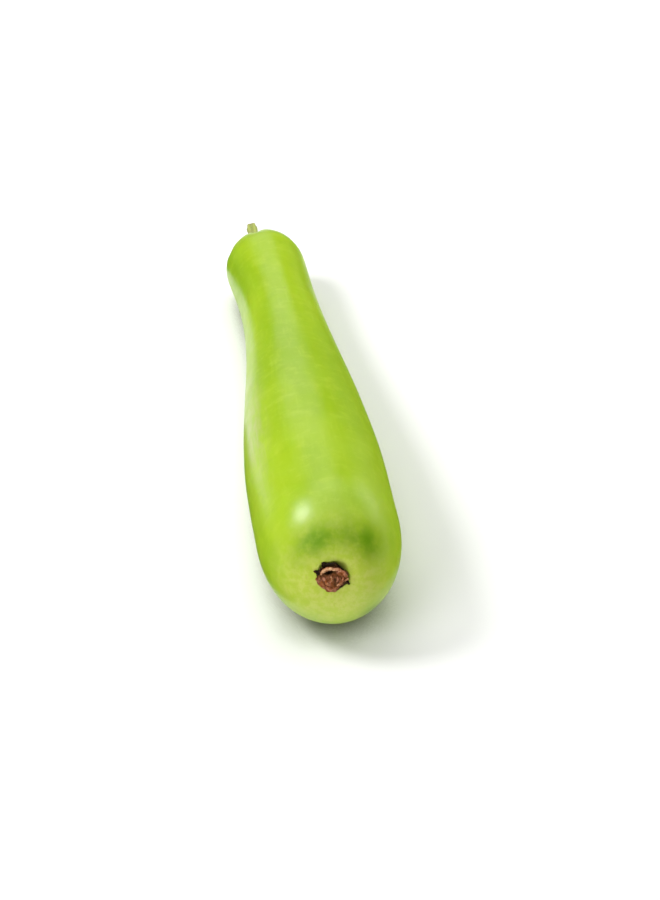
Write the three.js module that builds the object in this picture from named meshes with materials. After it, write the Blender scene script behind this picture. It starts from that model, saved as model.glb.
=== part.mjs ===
// Long bottle gourd (Lagenaria siceraria), picked, lying on its side.
//
// Frame: millimetres, +Z up. +Y runs along the fruit from the blossom end to the stem end.
// The origin is the centre of the small flat that the belly rests on, so the ground is z = 0.
//
// Three solids: the fruit, the stem that it hung by, and the dried remnant of its flower.
// The fruit is a lathe-turned body whose rings are then carried along a gently curved spine.
// The stem's root sits in a socket in the crown, and the remnant in a shallow seat.

import * as THREE from 'three';
import { mergeVertices } from 'three/addons/utils/BufferGeometryUtils.js';

// ---- Fruit: overall form ----
const FRUIT_LENGTH = 410;
const BELLY_RADIUS = 44;
const NECK_RADIUS = 28.1;
const BELLY_AT = 0.21; // share of the length where the belly is fullest
const NECK_AT = 0.81; // share of the length where the neck is slimmest
const TAPER_SKEW = 0.92; // under 1, the belly starts to narrow early
const SHOULDER_FLARE = 1.3; // the neck swells again by this much towards the stem
const SHOULDER_FLARE_FROM = 0.8;
const SHOULDER_FLARE_TO = 0.94;

// ---- Fruit: its two rounded ends ----
const BLOSSOM_DOME = { length: 54, along: 2.41, across: 2.76 };
const STEM_DOME = { length: 35, along: 2.04, across: 2.04 };
const BLOSSOM_OVAL = 0.033; // the blossom end is taller than it is wide by this share
const BLOSSOM_OVAL_UNTIL = 0.3;

// ---- Fruit: how its spine curves ----
const SIDE_BOW = 4.7; // sideways bow of the neck, towards +X
const SIDE_BOW_SKEW = 1.9; // over 1, the bow lies nearer the stem
const NOSE_UNTIL = 0.12; // share of the length over which the blossom end turns up
const NOSE_LIFT = 9;
const NOSE_DRIFT = -4.9;

// ---- Fruit: how it rests ----
const BELLY_REST_AT = 0.266; // share of the length where the belly meets the ground
const NECK_REST_AT = 0.9;
const BELLY_FLAT_DEPTH = 1.2; // how far the ground cuts into the round belly
const NECK_FLAT_DEPTH = 0.6;

// ---- Fruit: the crown round the stem ----
const CROWN_DIP = 3.4;
const CROWN_FLOOR_RADIUS = 7;
const CROWN_RIM_RADIUS = 18;
const LOBES = 5;
const LOBE_SWELL = 0.5;
const LOBE_WARP = [
  { waves: 1, size: 0.18, phase: 0.6 }, // radians, so that the lobes are not all alike
  { waves: 2, size: 0.1, phase: 2.1 },
];
const FURROW_DEPTH = 2.6;
const FURROW_WIDTH = 0.13; // share of one lobe
const FURROW_FROM = 0.2; // radians over the shoulder, from the fruit's axis
const FURROW_TO = 1.25;
const FURROW_SKEW = 0.55; // under 1, a furrow is deepest near the stem

// ---- Fruit: the pucker round the flower remnant, and soft unevenness ----
const PUCKER_DEPTH = 1.1;
const PUCKER_RADIUS = 13;
const SWELLINGS = [
  { waves: 2, size: 0.35, pitch: 240, phase: 0 }, // pitch: mm along the fruit for one turn
  { waves: 3, size: 0.35, pitch: -360, phase: 1.3 },
];
const EVEN_UNTIL = 70; // mm from the blossom pole, before which the swellings fade out

// ---- Stem ----
const STEM_LENGTH = 37;
const STEM_RADIUS = 3.7;
const STEM_FOOT_RADIUS = 6.2;
const STEM_FOOT_HEIGHT = 8;
const STEM_CUT_RADIUS = 4.5;
const STEM_CUT_FROM = 0.7; // share of the length where the stem starts to swell to its cut
const STEM_CUT_ROUNDING = 0.6;
const STEM_CUT_HOLLOW = 0.9; // the cut face has dried to a shallow cup
const STEM_ROOT_RADIUS = 4.2;
const STEM_ROOT_DEPTH = 5.5;
const STEM_RIB = 0.09; // share of the radius
const STEM_RIB_FROM = 0.1; // share of the length over which the ribs rise from the foot
const STEM_TWIST = 0.5; // radians from foot to cut
const STEM_CURVE = { side: 0.5, lift: 3 };

// ---- Flower remnant ----
const SCAR_RADIUS = 9.2;
const SCAR_ROOT_RADIUS = 7.4;
const SCAR_ROOT_DEPTH = 1.6;
const SCAR_HEIGHT = 2.4;
const SCAR_TEARS = [
  { waves: 5, size: 0.08, phase: 0.9 }, // size: share of the radius
  { waves: 3, size: 0.05, phase: 2.2 },
];
const SCAR_CRUMPLE = 0.22;
const SCAR_CRUMPLE_WAVES = [4, 7];
const SCAR_CRUMPLE_SWIRL = [0.8, -0.5]; // radians for each mm from the middle

// ---- Fits and mesh density ----
const GAP = 0.3; // between two solids that touch on the real thing
const FLOOR_GAP = 0.5; // under a root, which is turned a little against its seat
const FRUIT_SEGMENTS = 60;
const FRUIT_RINGS = 66;
const STEM_SEGMENTS = 30;
const STEM_RINGS = 16;
const SCAR_SEGMENTS = 45;

const SOCKET_RADIUS = STEM_ROOT_RADIUS + GAP;
const SEAT_RADIUS = SCAR_ROOT_RADIUS + GAP;
const SHOULDER_RADIUS = NECK_RADIUS + SHOULDER_FLARE;
const UP = new THREE.Vector3(0, 0, 1);

const { clamp, smoothstep, lerp } = THREE.MathUtils;

// ---- The fruit's outline ----

// Radius of the fruit between its ends, at a share of its length.
function bodyRadius(share) {
  const along = clamp((share - BELLY_AT) / (NECK_AT - BELLY_AT), 0, 1);
  const taper = 0.5 + 0.5 * Math.cos(Math.PI * along ** TAPER_SKEW);
  const flare = smoothstep(share, SHOULDER_FLARE_FROM, SHOULDER_FLARE_TO);
  return lerp(NECK_RADIUS, BELLY_RADIUS, taper) + SHOULDER_FLARE * flare;
}

// A rounded end: the share of the body's radius that is left at a distance from the pole.
function domeShare(dome, distance) {
  const along = clamp(distance / dome.length, 0, 1);
  return (1 - (1 - along) ** dome.along) ** (1 / dome.across);
}

// The inverse of domeShare: how far behind the pole the dome reaches a given share.
function domeDistance(dome, share) {
  return dome.length * (1 - (1 - share ** dome.across) ** (1 / dome.along));
}

// Radius of the fruit at a station, in mm from the blossom pole.
function fruitRadius(station) {
  const blossomEnd = domeShare(BLOSSOM_DOME, station);
  const stemEnd = domeShare(STEM_DOME, FRUIT_LENGTH - station);
  return bodyRadius(station / FRUIT_LENGTH) * blossomEnd * stemEnd;
}

// How far the crown's surface is sunk below the plain dome, by distance from the axis.
function crownDip(radius) {
  return CROWN_DIP * (1 - smoothstep(radius, CROWN_FLOOR_RADIUS, CROWN_RIM_RADIUS));
}

// How far the skin is drawn in round the flower remnant.
function pucker(radius) {
  return PUCKER_DEPTH * Math.exp(-((radius / PUCKER_RADIUS) ** 2));
}

const SEAT_MOUTH = domeDistance(BLOSSOM_DOME, SEAT_RADIUS / BELLY_RADIUS);
const SOCKET_MOUTH = FRUIT_LENGTH - domeDistance(STEM_DOME, SOCKET_RADIUS / SHOULDER_RADIUS);
const SEAT_FACE = SEAT_MOUTH + pucker(SEAT_RADIUS);
const CROWN_FACE = SOCKET_MOUTH - crownDip(SOCKET_RADIUS);

// Half the fruit's lengthwise section: x is the radius and y the station.
function fruitProfile() {
  const seatFloor = SEAT_FACE + SCAR_ROOT_DEPTH + FLOOR_GAP;
  const socketFloor = CROWN_FACE - STEM_ROOT_DEPTH - FLOOR_GAP;
  const points = [new THREE.Vector2(0, seatFloor), new THREE.Vector2(SEAT_RADIUS, seatFloor)];
  for (let ring = 0; ring <= FRUIT_RINGS; ring += 1) {
    const along = 0.5 - 0.5 * Math.cos((Math.PI * ring) / FRUIT_RINGS);
    const station = lerp(SEAT_MOUTH, SOCKET_MOUTH, along);
    const radius = fruitRadius(station);
    const sunk = along < 0.5 ? pucker(radius) : -crownDip(radius);
    points.push(new THREE.Vector2(radius, station + sunk));
  }
  points.push(new THREE.Vector2(SOCKET_RADIUS, socketFloor));
  points.push(new THREE.Vector2(0, socketFloor));
  return points;
}

// ---- The spine that the rings are carried along ----

// Height of the spine over the ground where a part of that radius rests with a small flat.
const BELLY_HEIGHT = bodyRadius(BELLY_REST_AT) - BELLY_FLAT_DEPTH;
const NECK_HEIGHT = bodyRadius(NECK_REST_AT) - NECK_FLAT_DEPTH;
const SPINE_SLOPE = (NECK_HEIGHT - BELLY_HEIGHT) / (NECK_REST_AT - BELLY_REST_AT);

function spinePoint(station) {
  const share = station / FRUIT_LENGTH;
  const nose = clamp(1 - share / NOSE_UNTIL, 0, 1) ** 2;
  const bow = SIDE_BOW * Math.sin(Math.PI * Math.max(share, 0) ** SIDE_BOW_SKEW);
  return new THREE.Vector3(
    bow + NOSE_DRIFT * nose,
    station - BELLY_REST_AT * FRUIT_LENGTH,
    BELLY_HEIGHT + SPINE_SLOPE * (share - BELLY_REST_AT) + NOSE_LIFT * nose,
  );
}

// The frame that a ring of the fruit lies in: x to the side, y along the spine, z upwards.
function spineFrame(station) {
  const step = 0.05;
  const along = spinePoint(station + step).sub(spinePoint(station - step)).normalize();
  const side = new THREE.Vector3().crossVectors(along, UP).normalize();
  const lift = new THREE.Vector3().crossVectors(side, along);
  return new THREE.Matrix4().makeBasis(side, along, lift).setPosition(spinePoint(station));
}

// ---- Surface form ----

// The sum of a few waves round a circle.
function waveSum(waves, angle) {
  return waves.reduce((sum, wave) => sum + wave.size * Math.sin(wave.waves * angle + wave.phase), 0);
}

// Depth of the furrows that run out from the stem: positive is inwards.
function furrowDepth(angle, shoulderAngle) {
  const turn = (LOBES * (angle + waveSum(LOBE_WARP, angle))) / (2 * Math.PI);
  const offCrease = Math.abs(turn - Math.round(turn));
  const crease = Math.exp(-((offCrease / FURROW_WIDTH) ** 2));
  const along = clamp((shoulderAngle - FURROW_FROM) / (FURROW_TO - FURROW_FROM), 0, 1);
  const fade = Math.sin(Math.PI * along ** FURROW_SKEW);
  return fade * (FURROW_DEPTH * crease - LOBE_SWELL);
}

// Low, slow swellings of the whole skin, as on any grown fruit.
function unevenness(angle, station) {
  const turned = SWELLINGS.map((wave) => ({
    ...wave,
    phase: wave.phase + (2 * Math.PI * station) / wave.pitch,
  }));
  return waveSum(turned, angle) * smoothstep(station, 0, EVEN_UNTIL);
}

// Moves one point of the plain lathe body to its place in the resting fruit.
function placeFruitPoint(point) {
  const radius = Math.hypot(point.x, point.z);
  const angle = Math.atan2(point.x, point.z);
  const station = point.y;
  const shoulderStart = FRUIT_LENGTH - STEM_DOME.length;
  const shoulderAngle = Math.atan2(radius, station - shoulderStart);
  const inwards = furrowDepth(angle, shoulderAngle);
  const outwards = unevenness(angle, station) * smoothstep(radius, SOCKET_RADIUS, NECK_RADIUS);
  const newRadius = radius + outwards - inwards * Math.sin(shoulderAngle);
  const newStation = station - inwards * Math.cos(shoulderAngle);

  const share = station / FRUIT_LENGTH;
  const oval = BLOSSOM_OVAL * (1 - smoothstep(share, 0, BLOSSOM_OVAL_UNTIL));
  const ovalHere = oval * smoothstep(radius, SEAT_RADIUS, BELLY_RADIUS);
  point.x = newRadius * Math.sin(angle) * (1 - ovalHere);
  point.z = newRadius * Math.cos(angle) * (1 + ovalHere);
  point.y = 0;
  point.applyMatrix4(spineFrame(newStation));
  point.z = Math.max(point.z, 0);
}

// ---- Geometry helpers ----

// A lathe body with its seam and poles welded, each point then moved by a function.
function turnedBody(profile, segments, movePoint) {
  const turned = new THREE.LatheGeometry(profile, segments);
  turned.deleteAttribute('normal');
  turned.deleteAttribute('uv');
  const welded = mergeVertices(turned, 1e-3);
  const position = welded.getAttribute('position');
  const point = new THREE.Vector3();
  for (let i = 0; i < position.count; i += 1) {
    point.fromBufferAttribute(position, i);
    movePoint(point);
    position.setXYZ(i, point.x, point.y, point.z);
  }
  welded.computeVertexNormals();
  return welded;
}

// ---- The three solids ----

function fruitGeometry() {
  return turnedBody(fruitProfile(), FRUIT_SEGMENTS, placeFruitPoint);
}

// Radius of the stem at a height above the crown: a flared foot, a shaft and a swollen cut end.
function stemRadius(height) {
  const foot = (1 - clamp(height / STEM_FOOT_HEIGHT, 0, 1)) ** 2;
  const cut = smoothstep(height, STEM_LENGTH * STEM_CUT_FROM, STEM_LENGTH);
  const flare = (STEM_FOOT_RADIUS - STEM_RADIUS) * foot;
  return STEM_RADIUS + flare + (STEM_CUT_RADIUS - STEM_RADIUS) * cut;
}

function stemProfile() {
  const points = [
    new THREE.Vector2(0, -STEM_ROOT_DEPTH),
    new THREE.Vector2(STEM_ROOT_RADIUS, -STEM_ROOT_DEPTH),
    new THREE.Vector2(STEM_ROOT_RADIUS, GAP),
  ];
  for (let ring = 0; ring <= STEM_RINGS; ring += 1) {
    const height = lerp(GAP, STEM_LENGTH - STEM_CUT_ROUNDING, ring / STEM_RINGS);
    points.push(new THREE.Vector2(stemRadius(height), height));
  }
  points.push(new THREE.Vector2(STEM_CUT_RADIUS - STEM_CUT_ROUNDING, STEM_LENGTH));
  points.push(new THREE.Vector2(STEM_CUT_RADIUS / 2, STEM_LENGTH - 0.75 * STEM_CUT_HOLLOW));
  points.push(new THREE.Vector2(0, STEM_LENGTH - STEM_CUT_HOLLOW));
  return points;
}

// Ribs the stem along its five corners, twists them and bends the shaft.
function placeStemPoint(point) {
  const radius = Math.hypot(point.x, point.z);
  const angle = Math.atan2(point.x, point.z);
  const above = clamp(point.y / STEM_LENGTH, 0, 1);
  const twist = STEM_TWIST * above;
  const rib = STEM_RIB * smoothstep(above, 0, STEM_RIB_FROM) * Math.cos(LOBES * angle);
  const ribbed = radius * (1 + rib);
  point.x = ribbed * Math.sin(angle + twist) + STEM_CURVE.side * above ** 2;
  point.z = ribbed * Math.cos(angle + twist) + STEM_CURVE.lift * above ** 2;
}

function stemGeometry() {
  return turnedBody(stemProfile(), STEM_SEGMENTS, placeStemPoint);
}

// Half the section of the flower remnant, from its middle out over the curled rim to its root.
// Negative y is outwards, away from the fruit.
function scarProfile() {
  const outline = [
    [0, 0.35],
    [0.16, 0.45],
    [0.3, 0.95],
    [0.42, 0.9],
    [0.54, 0.5],
    [0.68, 0.55],
    [0.82, 1],
    [0.94, 0.75],
    [1, 0.3],
  ];
  const points = outline.map(
    ([share, height]) => new THREE.Vector2(share * SCAR_RADIUS, -height * SCAR_HEIGHT),
  );
  points.push(new THREE.Vector2(SCAR_ROOT_RADIUS, -GAP));
  points.push(new THREE.Vector2(SCAR_ROOT_RADIUS, SCAR_ROOT_DEPTH));
  points.push(new THREE.Vector2(0, SCAR_ROOT_DEPTH));
  return points;
}

// Tears the remnant's rim into uneven points and crumples its face.
function placeScarPoint(point) {
  if (point.y > -GAP - 0.01) {
    return; // the root stays round, to fit its seat
  }
  const radius = Math.hypot(point.x, point.z);
  const angle = Math.atan2(point.x, point.z);
  const outer = smoothstep(radius, SCAR_ROOT_RADIUS / 2, SCAR_RADIUS);
  const torn = radius * (1 + outer * waveSum(SCAR_TEARS, angle));
  const folds = SCAR_CRUMPLE_WAVES.map((waves, i) =>
    Math.sin(waves * angle + SCAR_CRUMPLE_SWIRL[i] * radius),
  );
  point.x = torn * Math.sin(angle);
  point.z = torn * Math.cos(angle);
  point.y -= SCAR_CRUMPLE * folds[0] * folds[1] * smoothstep(radius, 0, SCAR_ROOT_RADIUS);
}

function scarGeometry() {
  return turnedBody(scarProfile(), SCAR_SEGMENTS, placeScarPoint);
}

// ---- Assembly ----

function skin(colour, roughness) {
  return new THREE.MeshStandardMaterial({ color: colour, roughness, metalness: 0 });
}

function namedMesh(name, geometry, material) {
  const mesh = new THREE.Mesh(geometry, material);
  mesh.name = name;
  return mesh;
}

// Places a mesh on the spine at a station, its own y axis along the spine.
function placeOnSpine(mesh, station) {
  const frame = spineFrame(station);
  mesh.position.setFromMatrixPosition(frame);
  mesh.quaternion.setFromRotationMatrix(frame);
  return mesh;
}

const gourd = new THREE.Group();
gourd.name = 'bottle_gourd';

const fruit = namedMesh('fruit', fruitGeometry(), skin(0xa6cf3c, 0.4));
const stem = namedMesh('stem', stemGeometry(), skin(0xa9b85c, 0.75));
const scar = namedMesh('blossom_scar', scarGeometry(), skin(0x7a4a2c, 0.9));

gourd.add(fruit);
gourd.add(placeOnSpine(stem, CROWN_FACE));
gourd.add(placeOnSpine(scar, SEAT_FACE));

export default gourd;
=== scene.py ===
"""Looks of a long bottle gourd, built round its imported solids.

Units are metres. +Y runs from the blossom end to the stem end, +Z is up and the ground is z = 0.
Three sub-assemblies replace the three solids: the waxy skin, the ribbed stem with its down, and
the dried remnant of the flower. A studio adds the floor, the backdrop, the lights, the flags that
take glare off the skin, and the camera.

Every piece is first modelled on a straight spine, where y is the station along the fruit, and is
then carried onto the spine of the resting fruit by GourdForm.
"""

import logging
import math
import random
from dataclasses import dataclass, field
from enum import Enum
from typing import Sequence

import bmesh
import bpy
from mathutils import Matrix, Vector, noise


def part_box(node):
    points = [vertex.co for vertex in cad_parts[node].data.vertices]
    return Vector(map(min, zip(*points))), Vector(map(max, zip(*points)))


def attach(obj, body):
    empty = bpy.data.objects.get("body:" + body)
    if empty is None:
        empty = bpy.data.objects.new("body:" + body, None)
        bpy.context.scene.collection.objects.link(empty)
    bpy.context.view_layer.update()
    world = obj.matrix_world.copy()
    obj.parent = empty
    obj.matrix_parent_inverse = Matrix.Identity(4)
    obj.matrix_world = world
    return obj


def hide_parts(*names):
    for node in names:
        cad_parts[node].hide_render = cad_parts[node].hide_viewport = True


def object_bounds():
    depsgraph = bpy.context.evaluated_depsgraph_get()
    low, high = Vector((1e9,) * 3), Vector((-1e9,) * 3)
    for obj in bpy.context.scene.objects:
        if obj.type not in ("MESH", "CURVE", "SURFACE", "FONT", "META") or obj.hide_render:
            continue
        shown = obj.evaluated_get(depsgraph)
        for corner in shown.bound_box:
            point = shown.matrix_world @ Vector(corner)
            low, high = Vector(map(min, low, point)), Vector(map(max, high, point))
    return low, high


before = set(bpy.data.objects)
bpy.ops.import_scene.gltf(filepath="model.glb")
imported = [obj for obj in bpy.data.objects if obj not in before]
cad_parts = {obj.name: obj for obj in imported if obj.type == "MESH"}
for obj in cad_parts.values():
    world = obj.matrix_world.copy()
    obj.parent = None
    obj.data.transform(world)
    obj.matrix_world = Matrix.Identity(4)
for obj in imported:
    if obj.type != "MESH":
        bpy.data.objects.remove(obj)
CAD_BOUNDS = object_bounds()

MM = 0.001
TAU = 2.0 * math.pi
WELD_DISTANCE = 1e-7
TINY = 1e-6
ROOT_BODY = "root"
LOG = logging.getLogger("bottle_gourd")

Colour = tuple[float, float, float]
Socket = bpy.types.NodeSocket
Finish = bpy.types.Material
Piece = bpy.types.Object
Mesh = bmesh.types.BMesh


class Slot(Enum):
    """The record's material slots."""

    SKIN = "gourd_skin"
    STEM = "green_stem"
    FLOWER = "dried_flower"


class Node(Enum):
    """The solids that the pieces stand for."""

    FRUIT = "fruit"
    STEM = "stem"
    SCAR = "blossom_scar"


def clamp(value: float, low: float = 0.0, high: float = 1.0) -> float:
    """Limits a value to a range."""
    return max(low, min(high, value))


def smoothstep(value: float, low: float, high: float) -> float:
    """Rises smoothly from 0 at low to 1 at high."""
    share = clamp((value - low) / (high - low))
    return share * share * (3.0 - 2.0 * share)


def bell(value: float, centre: float, width: float) -> float:
    """A smooth bump of height 1 round a centre."""
    return math.exp(-(((value - centre) / width) ** 2))


def sector(angle: float, centre: float, spread: float) -> float:
    """A smooth bump of height 1 round a direction, all in radians."""
    return bell(math.remainder(angle - centre, TAU), 0.0, spread)


def mix(low: float, high: float, share: float) -> float:
    """A value between two others."""
    return low + (high - low) * share


def ringed(radius: float, angle: float, along: float) -> Vector:
    """A point round the y axis, its angle measured from +Z towards +X."""
    return Vector((radius * math.sin(angle), along, radius * math.cos(angle)))


def bearing(azimuth: float, elevation: float) -> Vector:
    """Unit vector in a direction given in degrees.

    Args:
        azimuth: Degrees round from +Y towards +X.
        elevation: Degrees above the ground.

    Returns:
        The unit vector.
    """
    turn, rise = math.radians(azimuth), math.radians(elevation)
    level = math.cos(rise)
    return Vector((math.sin(turn) * level, math.cos(turn) * level, math.sin(rise)))


@dataclass(frozen=True)
class Wave:
    """One wave round a circle, which may also turn along the fruit.

    Attributes:
        count: Waves in one turn.
        size: Height of the wave.
        phase: Radians.
        pitch: Length along the fruit in which the wave turns once round.
    """

    count: int
    size: float
    phase: float
    pitch: float = math.inf

    def at(self, angle: float, station: float = 0.0) -> float:
        """Height of the wave at an angle and a station."""
        return self.size * math.sin(self.count * angle + self.phase + TAU * station / self.pitch)


@dataclass(frozen=True)
class Dome:
    """A rounded end, as a superellipse between the pole and the full body.

    Attributes:
        length: From the pole to the full body.
        along: Power of the curve along the fruit.
        across: Power of the curve across it.
    """

    length: float
    along: float
    across: float

    def share(self, distance: float) -> float:
        """Share of the body's radius that is left at a distance from the pole."""
        rest = 1.0 - clamp(distance / self.length)
        return (1.0 - rest**self.along) ** (1.0 / self.across)

    def distance(self, share: float) -> float:
        """How far behind the pole the dome reaches a share of the body's radius."""
        return self.length * (1.0 - (1.0 - share**self.across) ** (1.0 / self.along))


@dataclass(frozen=True)
class GourdForm:
    """The grown form of the fruit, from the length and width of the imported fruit."""

    length: float
    belly_radius: float
    neck_share: float = 0.639
    belly_at: float = 0.21
    neck_at: float = 0.81
    taper_skew: float = 0.92
    shoulder_flare: float = 1.3 * MM
    shoulder_flare_from: float = 0.80
    shoulder_flare_to: float = 0.94
    blossom_dome: Dome = Dome(54 * MM, 2.41, 2.76)
    stem_dome: Dome = Dome(35 * MM, 2.04, 2.04)
    blossom_oval: float = 0.033
    blossom_oval_until: float = 0.3
    side_bow: float = 4.7 * MM
    side_bow_skew: float = 1.9
    spine_step: float = 0.05 * MM
    nose_until: float = 0.12
    nose_lift: float = 9.0 * MM
    nose_drift: float = -4.9 * MM
    belly_rest_at: float = 0.266
    neck_rest_at: float = 0.9
    belly_flat_depth: float = 1.2 * MM
    neck_flat_depth: float = 0.6 * MM
    crown_dip: float = 3.4 * MM
    crown_floor_radius: float = 7.0 * MM
    crown_rim_radius: float = 18.0 * MM
    lobes: int = 5
    lobe_swell: float = 0.5 * MM
    lobe_warp: tuple[Wave, ...] = (Wave(1, 0.18, 0.6), Wave(2, 0.1, 2.1))
    furrow_depth: float = 2.6 * MM
    furrow_width: float = 0.13
    furrow_from: float = 0.2
    furrow_to: float = 1.25
    furrow_skew: float = 0.55
    pucker_depth: float = 1.1 * MM
    pucker_radius: float = 13.0 * MM
    swellings: tuple[Wave, ...] = (
        Wave(2, 0.35 * MM, 0.0, 240 * MM),
        Wave(3, 0.35 * MM, 1.3, -360 * MM),
    )
    even_until: float = 70.0 * MM
    scar_seat_radius: float = 7.7 * MM
    stem_socket_radius: float = 4.5 * MM

    @classmethod
    def from_box(cls, low: Vector, high: Vector) -> "GourdForm":
        """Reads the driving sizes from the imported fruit's box.

        Args:
            low: Lowest corner of the fruit.
            high: Highest corner of the fruit.

        Returns:
            The form at that length and width.
        """
        return cls(length=high.y - low.y, belly_radius=(high.x - low.x) / 2.0)

    @property
    def neck_radius(self) -> float:
        """Radius of the neck where it is slimmest."""
        return self.belly_radius * self.neck_share

    @property
    def shoulder_radius(self) -> float:
        """Radius of the neck just below the crown."""
        return self.neck_radius + self.shoulder_flare

    @property
    def scar_face(self) -> float:
        """Station of the skin at the edge of the flower remnant."""
        mouth = self.blossom_dome.distance(self.scar_seat_radius / self.belly_radius)
        return mouth + self.pucker(self.scar_seat_radius)

    @property
    def crown_face(self) -> float:
        """Station of the crown's floor at the edge of the stem."""
        mouth = self.stem_dome.distance(self.stem_socket_radius / self.shoulder_radius)
        return self.length - mouth - self.dip(self.stem_socket_radius)

    def body_radius(self, share: float) -> float:
        """Radius between the two ends, at a share of the length.

        Args:
            share: Station as a share of the length.

        Returns:
            The radius without the rounding of the ends.
        """
        along = clamp((share - self.belly_at) / (self.neck_at - self.belly_at))
        taper = 0.5 + 0.5 * math.cos(math.pi * along**self.taper_skew)
        flare = smoothstep(share, self.shoulder_flare_from, self.shoulder_flare_to)
        return mix(self.neck_radius, self.belly_radius, taper) + self.shoulder_flare * flare

    def radius(self, station: float) -> float:
        """Radius at a station, ends included.

        Args:
            station: Distance from the blossom pole.

        Returns:
            The radius.
        """
        blossom = self.blossom_dome.share(station)
        stem = self.stem_dome.share(self.length - station)
        return self.body_radius(station / self.length) * blossom * stem

    def dip(self, radius: float) -> float:
        """How far the crown is sunk below the plain dome."""
        rise = smoothstep(radius, self.crown_floor_radius, self.crown_rim_radius)
        return self.crown_dip * (1.0 - rise)

    def pucker(self, radius: float) -> float:
        """How far the skin is drawn in round the flower remnant."""
        return self.pucker_depth * bell(radius, 0.0, self.pucker_radius)

    def off_crease(self, angle: float) -> float:
        """Distance from the nearest furrow's bottom, as a share of one lobe.

        Args:
            angle: Round the fruit, from its upper side towards +X.

        Returns:
            The distance, 0.5 at most.
        """
        warped = angle + sum(wave.at(angle) for wave in self.lobe_warp)
        turn = self.lobes * warped / TAU
        return abs(turn - round(turn))

    def shoulder_angle(self, radius: float, station: float) -> float:
        """Angle over the shoulder, from the fruit's axis."""
        return math.atan2(radius, station - (self.length - self.stem_dome.length))

    def furrow_fade(self, shoulder_angle: float) -> float:
        """Strength of the furrows over the shoulder, from 0 to 1."""
        along = (shoulder_angle - self.furrow_from) / (self.furrow_to - self.furrow_from)
        return math.sin(math.pi * clamp(along) ** self.furrow_skew)

    def furrow(self, angle: float, shoulder_angle: float) -> float:
        """Depth of the furrows of the crown, positive inwards.

        Args:
            angle: Round the fruit, from its upper side towards +X.
            shoulder_angle: Over the shoulder, from the fruit's axis.

        Returns:
            The depth, less than nothing on the lobes.
        """
        crease = bell(self.off_crease(angle), 0.0, self.furrow_width)
        fade = self.furrow_fade(shoulder_angle)
        return fade * (self.furrow_depth * crease - self.lobe_swell)

    def unevenness(self, angle: float, station: float) -> float:
        """Low, slow swellings of the whole skin."""
        swell = sum(wave.at(angle, station) for wave in self.swellings)
        return swell * smoothstep(station, 0.0, self.even_until)

    def oval(self, share: float, radius: float) -> float:
        """How much taller than wide the blossom end is."""
        fade = 1.0 - smoothstep(share, 0.0, self.blossom_oval_until)
        return self.blossom_oval * fade * smoothstep(radius, self.scar_seat_radius, self.belly_radius)

    def spine_point(self, station: float) -> Vector:
        """A point of the resting fruit's spine.

        Args:
            station: Distance from the blossom pole.

        Returns:
            The point in the part's frame.
        """
        share = station / self.length
        belly_height = self.body_radius(self.belly_rest_at) - self.belly_flat_depth
        neck_height = self.body_radius(self.neck_rest_at) - self.neck_flat_depth
        slope = (neck_height - belly_height) / (self.neck_rest_at - self.belly_rest_at)
        nose = clamp(1.0 - share / self.nose_until) ** 2
        bow = self.side_bow * math.sin(math.pi * max(share, 0.0) ** self.side_bow_skew)
        return Vector(
            (
                bow + self.nose_drift * nose,
                station - self.belly_rest_at * self.length,
                belly_height + slope * (share - self.belly_rest_at) + self.nose_lift * nose,
            )
        )

    def spine_frame(self, station: float) -> Matrix:
        """Frame that a ring of the fruit lies in: x sideways, y along the spine, z up.

        Args:
            station: Distance from the blossom pole.

        Returns:
            The frame.
        """
        behind = self.spine_point(station - self.spine_step)
        ahead = self.spine_point(station + self.spine_step)
        along = (ahead - behind).normalized()
        side = along.cross(Vector((0.0, 0.0, 1.0))).normalized()
        lift = side.cross(along)
        turned = Matrix((side, along, lift)).transposed().to_4x4()
        return Matrix.Translation(self.spine_point(station)) @ turned


@dataclass(frozen=True)
class Seating:
    """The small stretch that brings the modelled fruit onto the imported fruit's box."""

    matrix: Matrix

    @classmethod
    def between(cls, made: tuple[Vector, Vector], wanted: tuple[Vector, Vector]) -> "Seating":
        """Finds the stretch from one box to another.

        Args:
            made: Lowest and highest corner of the modelled fruit.
            wanted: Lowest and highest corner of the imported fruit.

        Returns:
            The seating that maps the first box onto the second.
        """
        scale = [(wanted[1][i] - wanted[0][i]) / (made[1][i] - made[0][i]) for i in range(3)]
        stretch = Matrix.Diagonal((*scale, 1.0))
        shift = Matrix.Translation(wanted[0] - stretch @ made[0])
        return cls(shift @ stretch)


# ---------------------------------------------------------------- mesh helpers


def spin_profile(profile: Sequence[tuple[float, float]], segments: int) -> Mesh:
    """Turns a half section about the y axis into one closed body.

    Args:
        profile: Points of radius and height, from one pole on the axis to the other.
        segments: Steps in the full turn.

    Returns:
        A new bmesh with its seam and poles welded and its faces pointing out.
    """
    bm = bmesh.new()
    verts = [bm.verts.new((radius, height, 0.0)) for radius, height in profile]
    edges = [bm.edges.new(pair) for pair in zip(verts, verts[1:])]
    bmesh.ops.spin(
        bm,
        geom=verts + edges,
        cent=(0.0, 0.0, 0.0),
        axis=(0.0, 1.0, 0.0),
        angle=TAU,
        steps=segments,
        use_merge=True,
    )
    bmesh.ops.remove_doubles(bm, verts=bm.verts, dist=WELD_DISTANCE)
    bmesh.ops.dissolve_degenerate(bm, edges=bm.edges, dist=WELD_DISTANCE)
    bmesh.ops.recalc_face_normals(bm, faces=bm.faces)
    return bm


def mesh_box(bm: Mesh) -> tuple[Vector, Vector]:
    """Lowest and highest corner of a bmesh.

    Args:
        bm: The mesh.

    Returns:
        The two corners.
    """
    low = Vector(min(vert.co[i] for vert in bm.verts) for i in range(3))
    high = Vector(max(vert.co[i] for vert in bm.verts) for i in range(3))
    return low, high


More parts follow.
